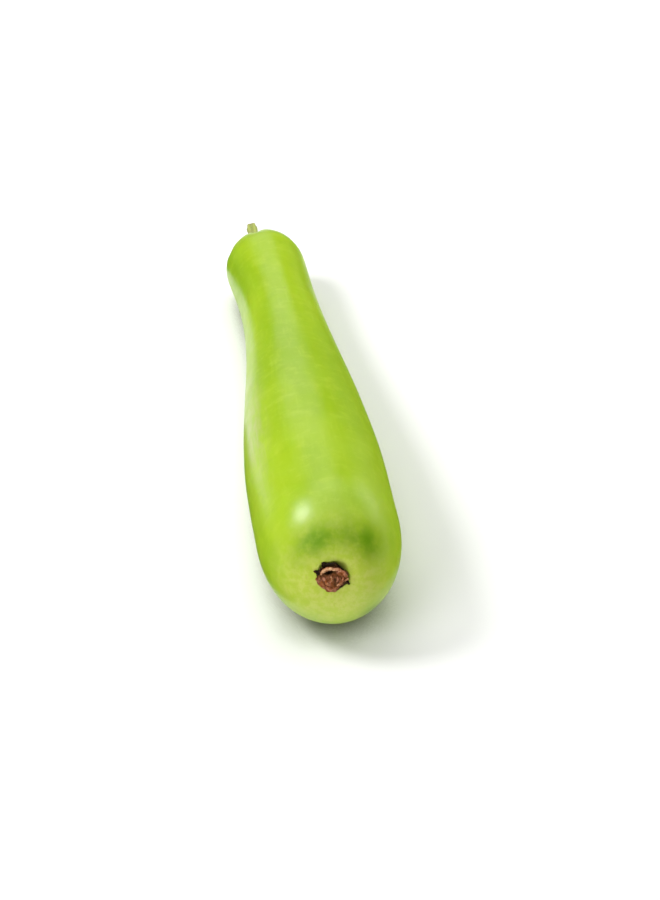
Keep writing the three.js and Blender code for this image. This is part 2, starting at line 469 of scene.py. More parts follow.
def finished_piece(bm: Mesh, name: str, finish: Finish) -> Piece:
    """Makes a smooth-shaded object from a bmesh and frees it.

    Args:
        bm: The mesh, in the part's own frame.
        name: Name of the piece.
        finish: Its finish.

    Returns:
        The new object, at the origin.
    """
    mesh = bpy.data.meshes.new(name)
    for face in bm.faces:
        face.smooth = True
    bm.to_mesh(mesh)
    bm.free()
    mesh.materials.append(finish)
    piece = bpy.data.objects.new(name, mesh)
    bpy.context.scene.collection.objects.link(piece)
    return piece


def keep_unlit(piece: Piece, in_camera: bool, in_gloss: bool) -> None:
    """Keeps a piece of the studio out of the light and the shadows.

    Args:
        piece: The piece.
        in_camera: Whether the camera sees it.
        in_gloss: Whether glossy surfaces show it.
    """
    piece.visible_camera = in_camera
    piece.visible_glossy = in_gloss
    piece.visible_diffuse = False
    piece.visible_shadow = False
    piece.visible_transmission = False
    piece.visible_volume_scatter = False


def register_piece(piece: Piece, node: Node) -> None:
    """Attaches a piece to the root body, hides the solid that it stands for and logs it.

    Args:
        piece: The finished object.
        node: The solid that it stands for.
    """
    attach(piece, ROOT_BODY)
    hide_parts(node.value)
    LOG.info("%s: %d faces, stands for %s", piece.name, len(piece.data.polygons), node.value)


# ------------------------------------------------------------- material helper


@dataclass(frozen=True)
class Clouds:
    """A cloudy pattern, and how strongly it shows.

    Attributes:
        scale: Clouds in a metre.
        detail: Layers of finer clouds.
        roughness: Weight of the finer layers.
        distortion: How far the clouds are stirred.
        stretch: Scale of the pattern along each axis, less than 1 where it is drawn out.
        levels: The range of the pattern that shows, and the shares at its two ends.
    """

    scale: float
    detail: float = 3.0
    roughness: float = 0.5
    distortion: float = 0.0
    stretch: tuple[float, float, float] | None = None
    levels: tuple[float, ...] = (0.0, 1.0)


class NodeBoard:
    """A material's node tree, with short ways to add and wire its nodes."""

    def __init__(self, name: str) -> None:
        """Starts an empty tree with a surface shader and an output.

        Args:
            name: Name of the material.
        """
        self.material = bpy.data.materials.new(name)
        self.material.use_nodes = True
        self.tree = self.material.node_tree
        self.tree.nodes.clear()
        self.shader = self.added("ShaderNodeBsdfPrincipled")
        self.added("ShaderNodeOutputMaterial", Surface=self.shader.outputs["BSDF"])

    def wire(self, source: Socket, target: Socket) -> None:
        """Links one socket to another."""
        self.tree.links.new(source, target)

    def added(self, kind: str, **values: object) -> bpy.types.Node:
        """Adds a node.

        Args:
            kind: The node's type.
            values: Its inputs, by name with underscores for spaces.

        Returns:
            The node.
        """
        node = self.tree.nodes.new(kind)
        self.fill(node, values)
        return node

    def fill(self, node: bpy.types.Node, values: dict[str, object]) -> None:
        """Gives a node's inputs their links or plain values."""
        for name, value in values.items():
            self.feed(node.inputs[name.replace("_", " ")], value)

    def feed(self, target: Socket, value: object) -> None:
        """Gives a socket a link or a plain value.

        Args:
            target: The input.
            value: An output to link, a number, a vector or a colour.
        """
        if isinstance(value, Socket):
            self.wire(value, target)
        elif isinstance(value, tuple) and len(value) == 3 and target.type == "RGBA":
            target.default_value = (*value, 1.0)
        else:
            target.default_value = value

    def settings(self, **values: object) -> None:
        """Sets the surface shader's inputs, by name with underscores for spaces."""
        self.fill(self.shader, values)

    def place(self) -> Socket:
        """The point in the part's own frame, in metres."""
        return self.added("ShaderNodeTexCoord").outputs["Object"]

    def attribute(self, name: str, output: str = "Fac") -> Socket:
        """A value that the mesh carries at its points.

        Args:
            name: Name of the mesh's layer.
            output: Which form of it to read.

        Returns:
            The value.
        """
        node = self.added("ShaderNodeAttribute")
        node.attribute_name = name
        return node.outputs[output]

    def mapped(self, vector: Socket, scale: tuple[float, float, float]) -> Socket:
        """A vector stretched along its axes."""
        return self.added("ShaderNodeMapping", Vector=vector, Scale=scale).outputs["Vector"]

    def noise(self, vector: Socket, clouds: Clouds) -> Socket:
        """Cloudy noise from 0 to 1.

        Args:
            vector: The point to read it at.
            clouds: The pattern.

        Returns:
            The noise.
        """
        if clouds.stretch is not None:
            vector = self.mapped(vector, clouds.stretch)
        node = self.added(
            "ShaderNodeTexNoise",
            Vector=vector,
            Scale=clouds.scale,
            Detail=clouds.detail,
            Roughness=clouds.roughness,
            Distortion=clouds.distortion,
        )
        return node.outputs["Fac"]

    def share(self, vector: Socket, clouds: Clouds) -> Socket:
        """How strongly a cloudy pattern shows at a point."""
        return self.remap(self.noise(vector, clouds), *clouds.levels)

    def cells(self, vector: Socket, scale: float) -> Socket:
        """Distance to the nearest of many scattered points."""
        return self.added("ShaderNodeTexVoronoi", Vector=vector, Scale=scale).outputs["Distance"]

    def remap(
        self, value: Socket, low: float, high: float, to_low: float = 0.0, to_high: float = 1.0
    ) -> Socket:
        """A value moved smoothly from one range to another.

        Args:
            value: The value.
            low: Start of its range.
            high: End of its range.
            to_low: Start of the new range.
            to_high: End of the new range.

        Returns:
            The moved value.
        """
        node = self.added("ShaderNodeMapRange", Value=value)
        node.interpolation_type = "SMOOTHSTEP"
        self.fill(node, {"From_Min": low, "From_Max": high, "To_Min": to_low, "To_Max": to_high})
        return node.outputs["Result"]

    def maths(self, operation: str, first: object, second: object) -> Socket:
        """One sum on two values.

        Args:
            operation: Kind of sum.
            first: A link or a number.
            second: A link or a number.

        Returns:
            The result.
        """
        node = self.added("ShaderNodeMath")
        node.operation = operation
        self.feed(node.inputs[0], first)
        self.feed(node.inputs[1], second)
        return node.outputs["Value"]

    def openness(self, reach: float, samples: int) -> Socket:
        """How open a place is, from 0 in a gap narrower than the reach to 1 in the open.

        Args:
            reach: How far to look for other surfaces.
            samples: Rays that look.

        Returns:
            The openness.
        """
        node = self.added("ShaderNodeAmbientOcclusion", Distance=reach)
        node.samples = samples
        return node.outputs["AO"]

    def measure(self, operation: str, vector: Socket, output: str) -> Socket:
        """One measure of a vector.

        Args:
            operation: Kind of measure.
            vector: The vector.
            output: Which result to read.

        Returns:
            The measure.
        """
        node = self.added("ShaderNodeVectorMath", Vector=vector)
        node.operation = operation
        return node.outputs[output]

    def direction(self, vector: Socket) -> Socket:
        """The unit vector along a vector."""
        return self.measure("NORMALIZE", vector, "Vector")

    def length(self, vector: Socket) -> Socket:
        """Length of a vector."""
        return self.measure("LENGTH", vector, "Value")

    def blend(self, share: object, first: object, second: object) -> Socket:
        """One colour mixed into another.

        Args:
            share: Share of the second colour.
            first: The first colour.
            second: The second colour.

        Returns:
            The mixed colour.
        """
        node = self.added("ShaderNodeMix", Factor=share)
        node.data_type = "RGBA"
        self.feed(node.inputs[6], first)
        self.feed(node.inputs[7], second)
        return node.outputs[2]

    def bump(self, layers: Sequence[tuple[Socket, float]]) -> None:
        """Raises the surface by several height maps, one over the other.

        Args:
            layers: Each height map and its depth in metres.
        """
        below: dict[str, Socket] = {}
        for height, depth in layers:
            node = self.added("ShaderNodeBump", Strength=1.0, Distance=depth, Height=height, **below)
            below = {"Normal": node.outputs["Normal"]}
        self.settings(**below)


# -------------------------------------------------------------------- finishes


@dataclass(frozen=True)
class GourdSkinFinish:
    """Waxy lime-green skin, paler round the blossom end, with faint streaks and speckles."""

    lime: Colour = (0.32, 0.48, 0.008)
    deep: Colour = (0.26, 0.42, 0.004)
    pale: Colour = (0.40, 0.54, 0.035)
    # pale cap round the blossom end: paler skin, brightened further as painted light on the end face
    blossom: Colour = (0.54, 0.60, 0.10)
    veined: Colour = (0.44, 0.56, 0.035)
    freckle: Colour = (0.44, 0.40, 0.10)
    # painted shade: dark green of the band above the remnant where the end turns away from the light,
    # partly darker skin; also one blemish
    painted_shade_and_blemish: Colour = (0.13, 0.28, 0.001)
    # painted shadow: dark olive where the moat shades the skin beside the remnant
    seat: Colour = (0.085, 0.095, 0.010)
    # painted reflection: pale, less green colour of the white floor's reflection on the left flank,
    # in lengthwise streaks
    painted_reflection: Colour = (0.40, 0.44, 0.15)
    # painted shade: darker green in the crown's furrows and creases
    furrow: Colour = (0.16, 0.31, 0.01)
    scuff: Colour = (0.28, 0.30, 0.04)
    drift: Clouds = Clouds(26.0, 3.0, 0.55, 0.4, (1.0, 0.3, 1.0), (0.36, 0.66))
    streaks: Clouds = Clouds(300.0, 4.0, 0.65, 0.5, (1.0, 0.12, 1.0), (0.5, 0.75, 0.0, 0.35))
    mottle: Clouds = Clouds(150.0, 4.0, 0.65, 0.0, (0.6, 1.0, 0.6), (0.48, 0.72, 0.0, 0.45))
    shade: Clouds = Clouds(85.0, 4.0, 0.6, levels=(0.52, 0.75, 0.0, 0.5))
    dot_scale: float = 420.0
    dot_levels: tuple[float, ...] = (0.12, 0.26, 0.4, 0.0)
    dot_gaps: Clouds = Clouds(75.0, 1.0, levels=(0.45, 0.6))
    reflection_streaks: Clouds = Clouds(240.0, 4.0, 0.65, 0.8, (1.0, 0.16, 1.0), (0.38, 0.62, 0.15, 1.0))
    cap_edge: Clouds = Clouds(60.0)
    cap_ragged: float = 12.0 * MM
    cap_levels: tuple[float, ...] = (16 * MM, 46 * MM, 0.9, 0.0)
    cap_rays: Clouds = Clouds(5.0, 4.0, 0.65)
    cap_ray_share: float = 0.35
    cap_veins: Clouds = Clouds(210.0, 5.0, 0.7, levels=(0.56, 0.78, 0.0, 0.85))
    freckles: Clouds = Clouds(430.0, 3.0, 0.6, levels=(0.60, 0.72, 0.0, 0.5))
    freckle_levels: tuple[float, ...] = (14 * MM, 32 * MM, 1.0, 0.0)
    shade_and_blemish_clouds: Clouds = Clouds(90.0, 4.0, 0.6, levels=(0.25, 0.55, 0.5, 1.0))
    scuff_marks: Clouds = Clouds(170.0, 4.0, 0.6, 0.0, (1.0, 0.5, 1.0), (0.68, 0.76))
    scuff_places: Clouds = Clouds(22.0, 1.0, levels=(0.56, 0.66, 0.0, 0.7))
    gloss: Clouds = Clouds(55.0, 4.0, levels=(0.3, 0.7, 0.29, 0.38))
    relief: tuple[tuple[Clouds, float], ...] = (
        (Clouds(210.0, stretch=(1.0, 0.25, 1.0)), 0.10 * MM),
        (Clouds(80.0, stretch=(0.5, 1.0, 0.5)), 0.14 * MM),
        (Clouds(1500.0, 2.0), 0.02 * MM),
    )

    def build(self) -> Finish:
        """Makes the material.

        Returns:
            The material.
        """
        board = NodeBoard("Waxy_Green_Skin")
        grown = board.attribute("grown", "Vector")
        tint = self.ground_colour(board, grown)
        # painted reflection of the white floor, streaked along the left flank
        reflection_streaks = board.maths("MULTIPLY", board.attribute("painted_reflection"), board.share(grown, self.reflection_streaks))
        tint = board.blend(reflection_streaks, tint, self.painted_reflection)
        tint = self.blossom_end(board, grown, tint)
        # painted shade in the crown's furrows and creases
        tint = board.blend(board.attribute("furrow"), tint, self.furrow)
        marks, places = board.share(grown, self.scuff_marks), board.share(grown, self.scuff_places)
        tint = board.blend(board.maths("MULTIPLY", marks, places), tint, self.scuff)
        board.settings(
            Base_Color=tint,
            Roughness=board.share(grown, self.gloss),
            Subsurface_Weight=0.15,
            Subsurface_Radius=(0.35, 1.0, 0.15),
            Subsurface_Scale=0.003,
            IOR=1.5,
        )
        board.bump([(board.noise(grown, clouds), depth) for clouds, depth in self.relief])
        return board.material

    def ground_colour(self, board: NodeBoard, grown: Socket) -> Socket:
        """Clouds, lengthwise streaks and pale speckles of the green.

        Args:
            board: The skin's board.
            grown: The point on the straight fruit.

        Returns:
            The colour.
        """
        tint = board.blend(board.share(grown, self.drift), self.lime, self.deep)
        tint = board.blend(board.share(grown, self.streaks), tint, self.pale)
        tint = board.blend(board.share(grown, self.mottle), tint, self.pale)
        tint = board.blend(board.share(grown, self.shade), tint, self.deep)
        dots = board.remap(board.cells(grown, self.dot_scale), *self.dot_levels)
        speckles = board.maths("MULTIPLY", dots, board.share(grown, self.dot_gaps))
        return board.blend(speckles, tint, self.pale)

    def blossom_end(self, board: NodeBoard, grown: Socket, tint: Socket) -> Socket:
        """The pale cap round the flower remnant, partly painted light, and patches of painted shade
        and blemish.

        Args:
            board: The skin's board.
            grown: The point on the straight fruit.
            tint: The colour of the plain skin.

        Returns:
            The colour with the blossom end laid over it.
        """
        ragged = board.maths("MULTIPLY", board.noise(grown, self.cap_edge), self.cap_ragged)
        reach = board.maths("ADD", board.length(grown), ragged)
        reach = board.maths("SUBTRACT", reach, self.cap_ragged / 2.0)
        around = board.direction(board.mapped(grown, (1.0, 0.0, 1.0)))
        rays = board.maths("MULTIPLY", board.noise(around, self.cap_rays), self.cap_ray_share)
        veins = board.maths("ADD", rays, board.noise(grown, self.cap_veins))
        flesh = board.blend(board.remap(veins, *self.cap_veins.levels), self.blossom, self.veined)
        # pale cap: paler skin, partly painted light on the end face
        tint = board.blend(board.remap(reach, *self.cap_levels), tint, flesh)
        near = board.remap(reach, *self.freckle_levels)
        freckles = board.maths("MULTIPLY", board.share(grown, self.freckles), near)
        tint = board.blend(freckles, tint, self.freckle)
        # painted shade band above the remnant and on the neck's left side, partly darker skin, plus
        # one real blemish, broken up by clouds
        patches = board.share(grown, self.shade_and_blemish_clouds)
        painted_shade_and_blemish = board.maths("MULTIPLY", board.attribute("painted_shade_and_blemish"), patches)
        tint = board.blend(painted_shade_and_blemish, tint, self.painted_shade_and_blemish)
        # painted shadow of the moat on the skin at the remnant's upper right
        return board.blend(board.attribute("seat"), tint, self.seat)


@dataclass(frozen=True)
class StemFinish:
    """Fibrous yellow-green stalk with painted shade in its grooves and a browned cut."""

    rib: Colour = (0.39, 0.44, 0.09)
    # painted shade in the grooves between the ribs
    groove: Colour = (0.26, 0.30, 0.055)
    fibre: Colour = (0.46, 0.50, 0.15)
    cut: Colour = (0.26, 0.24, 0.10)
    fibres: Clouds = Clouds(1800.0, stretch=(1.0, 0.06, 1.0), levels=(0.5, 0.75, 0.0, 0.5))
    fibre_relief: float = 0.12 * MM
    blotches: Clouds = Clouds(260.0, 4.0, levels=(0.55, 0.75, 0.0, 0.45))
    blotch_relief: float = 0.1 * MM

    def build(self) -> Finish:
        """Makes the material.

        Returns:
            The material.
        """
        board = NodeBoard("Ribbed_Green_Stem")
        grown = board.attribute("grown", "Vector")
        # paler ribs and darker grooves: painted shade following the rib height
        tint = board.blend(board.attribute("rib"), self.groove, self.rib)
        fibres = board.noise(grown, self.fibres)
        tint = board.blend(board.remap(fibres, *self.fibres.levels), tint, self.fibre)
        blotches = board.noise(grown, self.blotches)
        tint = board.blend(board.remap(blotches, *self.blotches.levels), tint, self.cut)
        tint = board.blend(board.attribute("cut"), tint, self.cut)
        board.settings(Base_Color=tint, Roughness=0.62)
        board.settings(Subsurface_Weight=0.08, Subsurface_Scale=0.002)
        board.bump([(fibres, self.fibre_relief), (blotches, self.blotch_relief)])
        return board.material


@dataclass(frozen=True)
class DownFinish:
    """Short pale hairs."""

    hair: Colour = (0.62, 0.66, 0.42)
    shade: Colour = (0.45, 0.5, 0.25)
    clouds: Clouds = Clouds(900.0, 1.0)

    def build(self) -> Finish:
        """Makes the material.

        Returns:
            The material.
        """
        board = NodeBoard("Pale_Stem_Down")
        tint = board.blend(board.noise(board.place(), self.clouds), self.hair, self.shade)
        board.settings(Base_Color=tint, Roughness=0.5, Transmission_Weight=0.2)
        return board.material


@dataclass(frozen=True)
class DriedFlowerFinish:
    """Crumpled reddish-brown tissue, tan on its folds and nearly black in its pits, partly as painted
    light and shade.
    """

    # darkest tone: painted shade in the slit and hollows, also the dark torn tips
    pit: Colour = (0.012, 0.006, 0.002)
    umber: Colour = (0.085, 0.035, 0.008)
    rust: Colour = (0.27, 0.08, 0.02)
    mauve: Colour = (0.42, 0.17, 0.095)
    tan: Colour = (0.70, 0.42, 0.22)
    streaks: Clouds = Clouds(900.0, 3.0, 0.6, 0.6)
    streak_tone_and_painted_light: float = 0.24
    streak_relief: float = 0.22 * MM
    patches: Clouds = Clouds(330.0, 3.0, 0.55, levels=(0.42, 0.60))
    crumbs: Clouds = Clouds(2600.0)
    crumb_relief: float = 0.08 * MM
    umber_levels: tuple[float, float] = (0.04, 0.22)
    brown_levels: tuple[float, float] = (0.18, 0.50)
    tan_levels: tuple[float, float] = (0.60, 1.02)
    rough_levels: tuple[float, ...] = (0.3, 0.7, 0.6, 0.85)

    def build(self) -> Finish:
        """Makes the material.

        Returns:
            The material.
        """
        board = NodeBoard("Dried_Flower_Tissue")
        place = board.place()
        streaks = board.noise(place, self.streaks)
        # tone rises where the streaks raise the surface: painted light on raised streaks, partly
        # tissue tone
        uneven = board.maths("MULTIPLY", streaks, self.streak_tone_and_painted_light)
        tone = board.maths("ADD", board.attribute("tone"), uneven)
        tone = board.maths("SUBTRACT", tone, self.streak_tone_and_painted_light / 2.0)
        patches = board.noise(place, self.patches)
        brown = board.blend(board.remap(patches, *self.patches.levels), self.rust, self.mauve)
        tint = board.blend(board.remap(tone, *self.umber_levels), self.pit, self.umber)
        tint = board.blend(board.remap(tone, *self.brown_levels), tint, brown)
        tint = board.blend(board.remap(tone, *self.tan_levels), tint, self.tan)
        rough = board.remap(patches, *self.rough_levels)
        board.settings(Base_Color=tint, Roughness=rough, Specular_IOR_Level=0.2)
        crumbs = board.noise(place, self.crumbs)
        board.bump([(streaks, self.streak_relief), (crumbs, self.crumb_relief)])
        return board.material


@dataclass(frozen=True)
class FloorFinish:
    """White studio floor, with a painted contact shadow in the gap under the fruit, glowing far away
    from it.
    """

    white: Colour = (0.93, 0.93, 0.92)
    shade: Colour = (0.92, 0.92, 0.92)
    painted_contact_shadow: Colour = (0.15, 0.17, 0.06)
    contact_reach: float = 40.0 * MM
    contact_openness: tuple[float, float] = (0.15, 0.6)
    contact_samples: int = 8
    glow_reach: tuple[float, float] = (0.5, 1.5)
    glow: Colour = (1.0, 1.0, 1.0)
    grain: Clouds = Clouds(8.0, 2.0)

    def build(self) -> Finish:
        """Makes the material.

        Returns:
            The material.
        """
        board = NodeBoard("White_Studio_Floor")
        place = board.place()
        tint = board.blend(board.noise(place, self.grain), self.white, self.shade)
        # painted contact shadow: the floor darkens where the fruit closes in over it
        openness = board.openness(self.contact_reach, self.contact_samples)
        openness = board.remap(openness, *self.contact_openness)
        board.settings(
            Base_Color=board.blend(openness, self.painted_contact_shadow, tint),
            Roughness=0.9,
            Specular_IOR_Level=0.1,
            Emission_Color=self.glow,
            Emission_Strength=board.remap(board.length(place), *self.glow_reach),
        )
        return board.material


@dataclass(frozen=True)
class BackdropFinish:
    """White backdrop that shines evenly."""

    white: Colour = (1.0, 1.0, 1.0)
    shade: Colour = (0.97, 0.98, 0.97)
    unlit: Colour = (0.0, 0.0, 0.0)
    clouds: Clouds = Clouds(0.4, 1.0)

    def build(self) -> Finish:
        """Makes the material.

        Returns:
            The material.
        """
        board = NodeBoard("White_Studio_Backdrop")
        tint = board.blend(board.noise(board.place(), self.clouds), self.white, self.shade)
        board.settings(Emission_Color=tint, Emission_Strength=1.0)
        board.settings(Base_Color=self.unlit, Roughness=1.0, Specular_IOR_Level=0.0)
        return board.material


@dataclass(frozen=True)
class FlagFinish:
    """Dark green cloth."""

    cloth: Colour = (0.05, 0.08, 0.01)
    worn: Colour = (0.07, 0.11, 0.02)
    weave: Clouds = Clouds(60.0, 2.0)

    def build(self) -> Finish:
        """Makes the material.

        Returns:
            The material.
        """
        board = NodeBoard("Dark_Flag_Cloth")
        tint = board.blend(board.noise(board.place(), self.weave), self.cloth, self.worn)
        board.settings(Base_Color=tint, Roughness=0.95, Specular_IOR_Level=0.0)
        return board.material


# --------------------------------------------------------------- sub-assemblies


@dataclass(frozen=True)
class SkinPatch:
    """A patch of another tint.

    Attributes:
        angle: Round the fruit, from its upper side towards +X.
        reach: Distance from the blossom pole.
        spread: Its half width round the fruit, in radians.
        width: Its half width along the skin.
        strength: Share of the patch's own tint.
    """

    angle: float
    reach: float
    spread: float
    width: float
    strength: float


@dataclass
class FruitSkin:
    """The gourd's whole skin, as one closed body."""

    form: GourdForm
    segments: int = 144
    body_rings: int = 150
    blossom_disc: float = 16.0 * MM
    blossom_rings: int = 36
    crown_disc: float = 14.0 * MM
    crown_rings: int = 28
    moat_depth: float = 1.5 * MM
    moat_radius: float = 9.0 * MM
    moat_edge: float = 0.9 * MM
    moat_slope: float = 1.4 * MM
    moat_slope_angle: float = 0.85
    moat_slope_spread: float = 0.7
    moat_lower: float = 1.6 * MM
    moat_lower_turn: float = 0.3
    moat_lower_sides: tuple[float, float] = (-0.4, 0.5)
    moat_waves: tuple[Wave, ...] = (Wave(5, 0.35 * MM, -1.2), Wave(9, 0.2 * MM, 0.7))
    crease_depth: float = 0.7 * MM
    crease_width: float = 0.035
    # Strength of the painted shade in the creases and furrows
    crease_shade: float = 0.3
    furrow_shade: float = 0.6
    furrow_shade_width: float = 0.09
    dapple_size: float = 0.12 * MM
    dapple_scale: float = 42.0
    # Painted shade: the band round the blossom end where the skin turns from the light (partly darker
    # skin) and the neck's left side; the patch at 2.4 rad is a blemish.
    shade_and_blemish_patches: tuple[SkinPatch, ...] = (
        SkinPatch(0.85, 28.5 * MM, 0.38, 9.5 * MM, 0.95),
        SkinPatch(0.42, 26 * MM, 0.3, 9 * MM, 0.35),
        SkinPatch(0.0, 22.5 * MM, 0.4, 9 * MM, 0.6),
        SkinPatch(-0.56, 23 * MM, 0.42, 9 * MM, 0.9),
        SkinPatch(-1.15, 22 * MM, 0.35, 8 * MM, 0.35),
        SkinPatch(2.4, 37 * MM, 0.22, 7 * MM, 0.7),
        SkinPatch(-1.15, 360 * MM, 0.45, 42 * MM, 0.3),
    )
    # Where the white floor's reflection is painted on the left flank
    reflection_patches: tuple[SkinPatch, ...] = (
        SkinPatch(-0.99, 134 * MM, 0.22, 44 * MM, 0.75),
        SkinPatch(-1.2, 205 * MM, 0.25, 50 * MM, 0.35),
    )
    # Painted shadow of the moat on the skin at the remnant's upper right
    seat_painted_shadow: float = 0.8
    seat_shadow_angle: float = 0.65
    seat_shadow_spread: float = 0.75
    seat_shadow_reach: tuple[float, float] = (8.2 * MM, 12.8 * MM)
    seating: Seating = field(init=False)

    def profile(self) -> list[tuple[float, float]]:
        """Half section from the blossom pole to the stem pole, as radius and station.

        Returns:
            Its points.
        """
        form = self.form
        points = []
        for ring in range(self.blossom_rings):
            radius = self.blossom_disc * ring / self.blossom_rings
            points.append((radius, form.blossom_dome.distance(radius / form.belly_radius)))
        first = form.blossom_dome.distance(self.blossom_disc / form.belly_radius)
        last = form.length - form.stem_dome.distance(self.crown_disc / form.shoulder_radius)
        for ring in range(self.body_rings + 1):
            along = 0.5 - 0.5 * math.cos(math.pi * ring / self.body_rings)
            station = mix(first, last, along)
            points.append((form.radius(station), station))
        for ring in range(self.crown_rings - 1, -1, -1):
            radius = self.crown_disc * ring / self.crown_rings
            sink = form.stem_dome.distance(radius / form.shoulder_radius)
            points.append((radius, form.length - sink))
        return points

    def moat(self, radius: float, angle: float) -> float:
        """Depth of the sunk seat that the flower remnant stands in.

        Args:
            radius: Distance from the fruit's axis.
            angle: Round the fruit, from its upper side.

        Returns:
            The depth.
        """
        below = -math.cos(angle - self.moat_lower_turn)
        lower = self.moat_lower * smoothstep(below, *self.moat_lower_sides)
        edge = self.moat_radius - lower + sum(wave.at(angle) for wave in self.moat_waves)
        sloped = self.moat_slope * sector(angle, self.moat_slope_angle, self.moat_slope_spread)
        width = self.moat_edge + sloped
        return self.moat_depth * (1.0 - smoothstep(radius, edge - self.moat_edge, edge + width))

    @staticmethod
    def patched(patches: Sequence[SkinPatch], angle: float, reach: float) -> float:
        """Strength of some patches at a point of the skin.

        Args:
            patches: The patches.
            angle: Round the fruit, from its upper side.
            reach: Distance from the blossom pole.

        Returns:
            A share from 0 to 1.
        """
        strength = 0.0
        for patch in patches:
            beside = sector(angle, patch.angle, patch.spread)
            strength += patch.strength * beside * bell(reach, patch.reach, patch.width)
        return clamp(strength)

    def move(self, vert: bmesh.types.BMVert, layers: dict[str, bmesh.types.BMLayerItem]) -> None:
        """Carries one point of the straight body to the resting fruit and notes its growth.

        Args:
            vert: The point, still on the straight body.
            layers: The mesh layers that the finish reads.
        """
        form = self.form
        radius = math.hypot(vert.co.x, vert.co.z)
        angle = math.atan2(vert.co.x, vert.co.z)
        station = vert.co.y
        vert[layers["grown"]] = vert.co.copy()

        near_blossom = station < form.length / 2.0
        sunk = form.pucker(radius) + self.moat(radius, angle) if near_blossom else -form.dip(radius)
        shoulder = form.shoulder_angle(radius, station)
        fade = form.furrow_fade(shoulder)
        crease = bell(form.off_crease(angle), 0.0, self.crease_width) * fade**2
        inwards = form.furrow(angle, shoulder) + self.crease_depth * crease
        dapple = noise.noise(vert.co * self.dapple_scale) * self.dapple_size
        ends = smoothstep(radius, form.stem_socket_radius, form.neck_radius)
        outwards = (form.unevenness(angle, station) + dapple) * ends
        ring_radius = radius + outwards - inwards * math.sin(shoulder)
        ring_station = station + sunk - inwards * math.cos(shoulder)

        share = station / form.length
        oval = form.oval(share, radius)
        local = ringed(ring_radius, angle, 0.0)
        local.x *= 1.0 - oval
        local.z *= 1.0 + oval
        vert.co = form.spine_frame(ring_station) @ local
        vert.co.z = max(vert.co.z, 0.0)
        # painted shade along the bottoms of the furrows and creases
        furrowed = bell(form.off_crease(angle), 0.0, self.furrow_shade_width)
        furrowed *= self.furrow_shade * fade
        vert[layers["furrow"]] = clamp(furrowed + self.crease_shade * crease)
        reach = vert[layers["grown"]].length
        # painted shade and blemish mask
        vert[layers["painted_shade_and_blemish"]] = self.patched(self.shade_and_blemish_patches, angle, reach)
        # painted reflection mask
        vert[layers["painted_reflection"]] = self.patched(self.reflection_patches, angle, reach)
        # painted shadow of the moat beside the remnant
        beside = sector(angle, self.seat_shadow_angle, self.seat_shadow_spread)
        shade = self.seat_painted_shadow * beside * (1.0 - smoothstep(radius, *self.seat_shadow_reach))
        vert[layers["seat"]] = shade if near_blossom else 0.0

    def build(self, finish: Finish) -> Piece:
        """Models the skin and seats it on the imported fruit.

        Args:
            finish: The skin's finish.

        Returns:
            The finished skin.
        """
        bm = spin_profile(self.profile(), self.segments)
        layers = {"grown": bm.verts.layers.float_vector.new("grown")}
        for name in ("furrow", "painted_shade_and_blemish", "seat", "painted_reflection"):
            layers[name] = bm.verts.layers.float.new(name)
        for vert in bm.verts:
            self.move(vert, layers)
        self.seating = Seating.between(mesh_box(bm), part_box(Node.FRUIT.value))
        bmesh.ops.transform(bm, matrix=self.seating.matrix, verts=bm.verts)
        bmesh.ops.recalc_face_normals(bm, faces=bm.faces)
        piece = finished_piece(bm, "Fruit_Skin", finish)
        register_piece(piece, Node.FRUIT)
        return piece


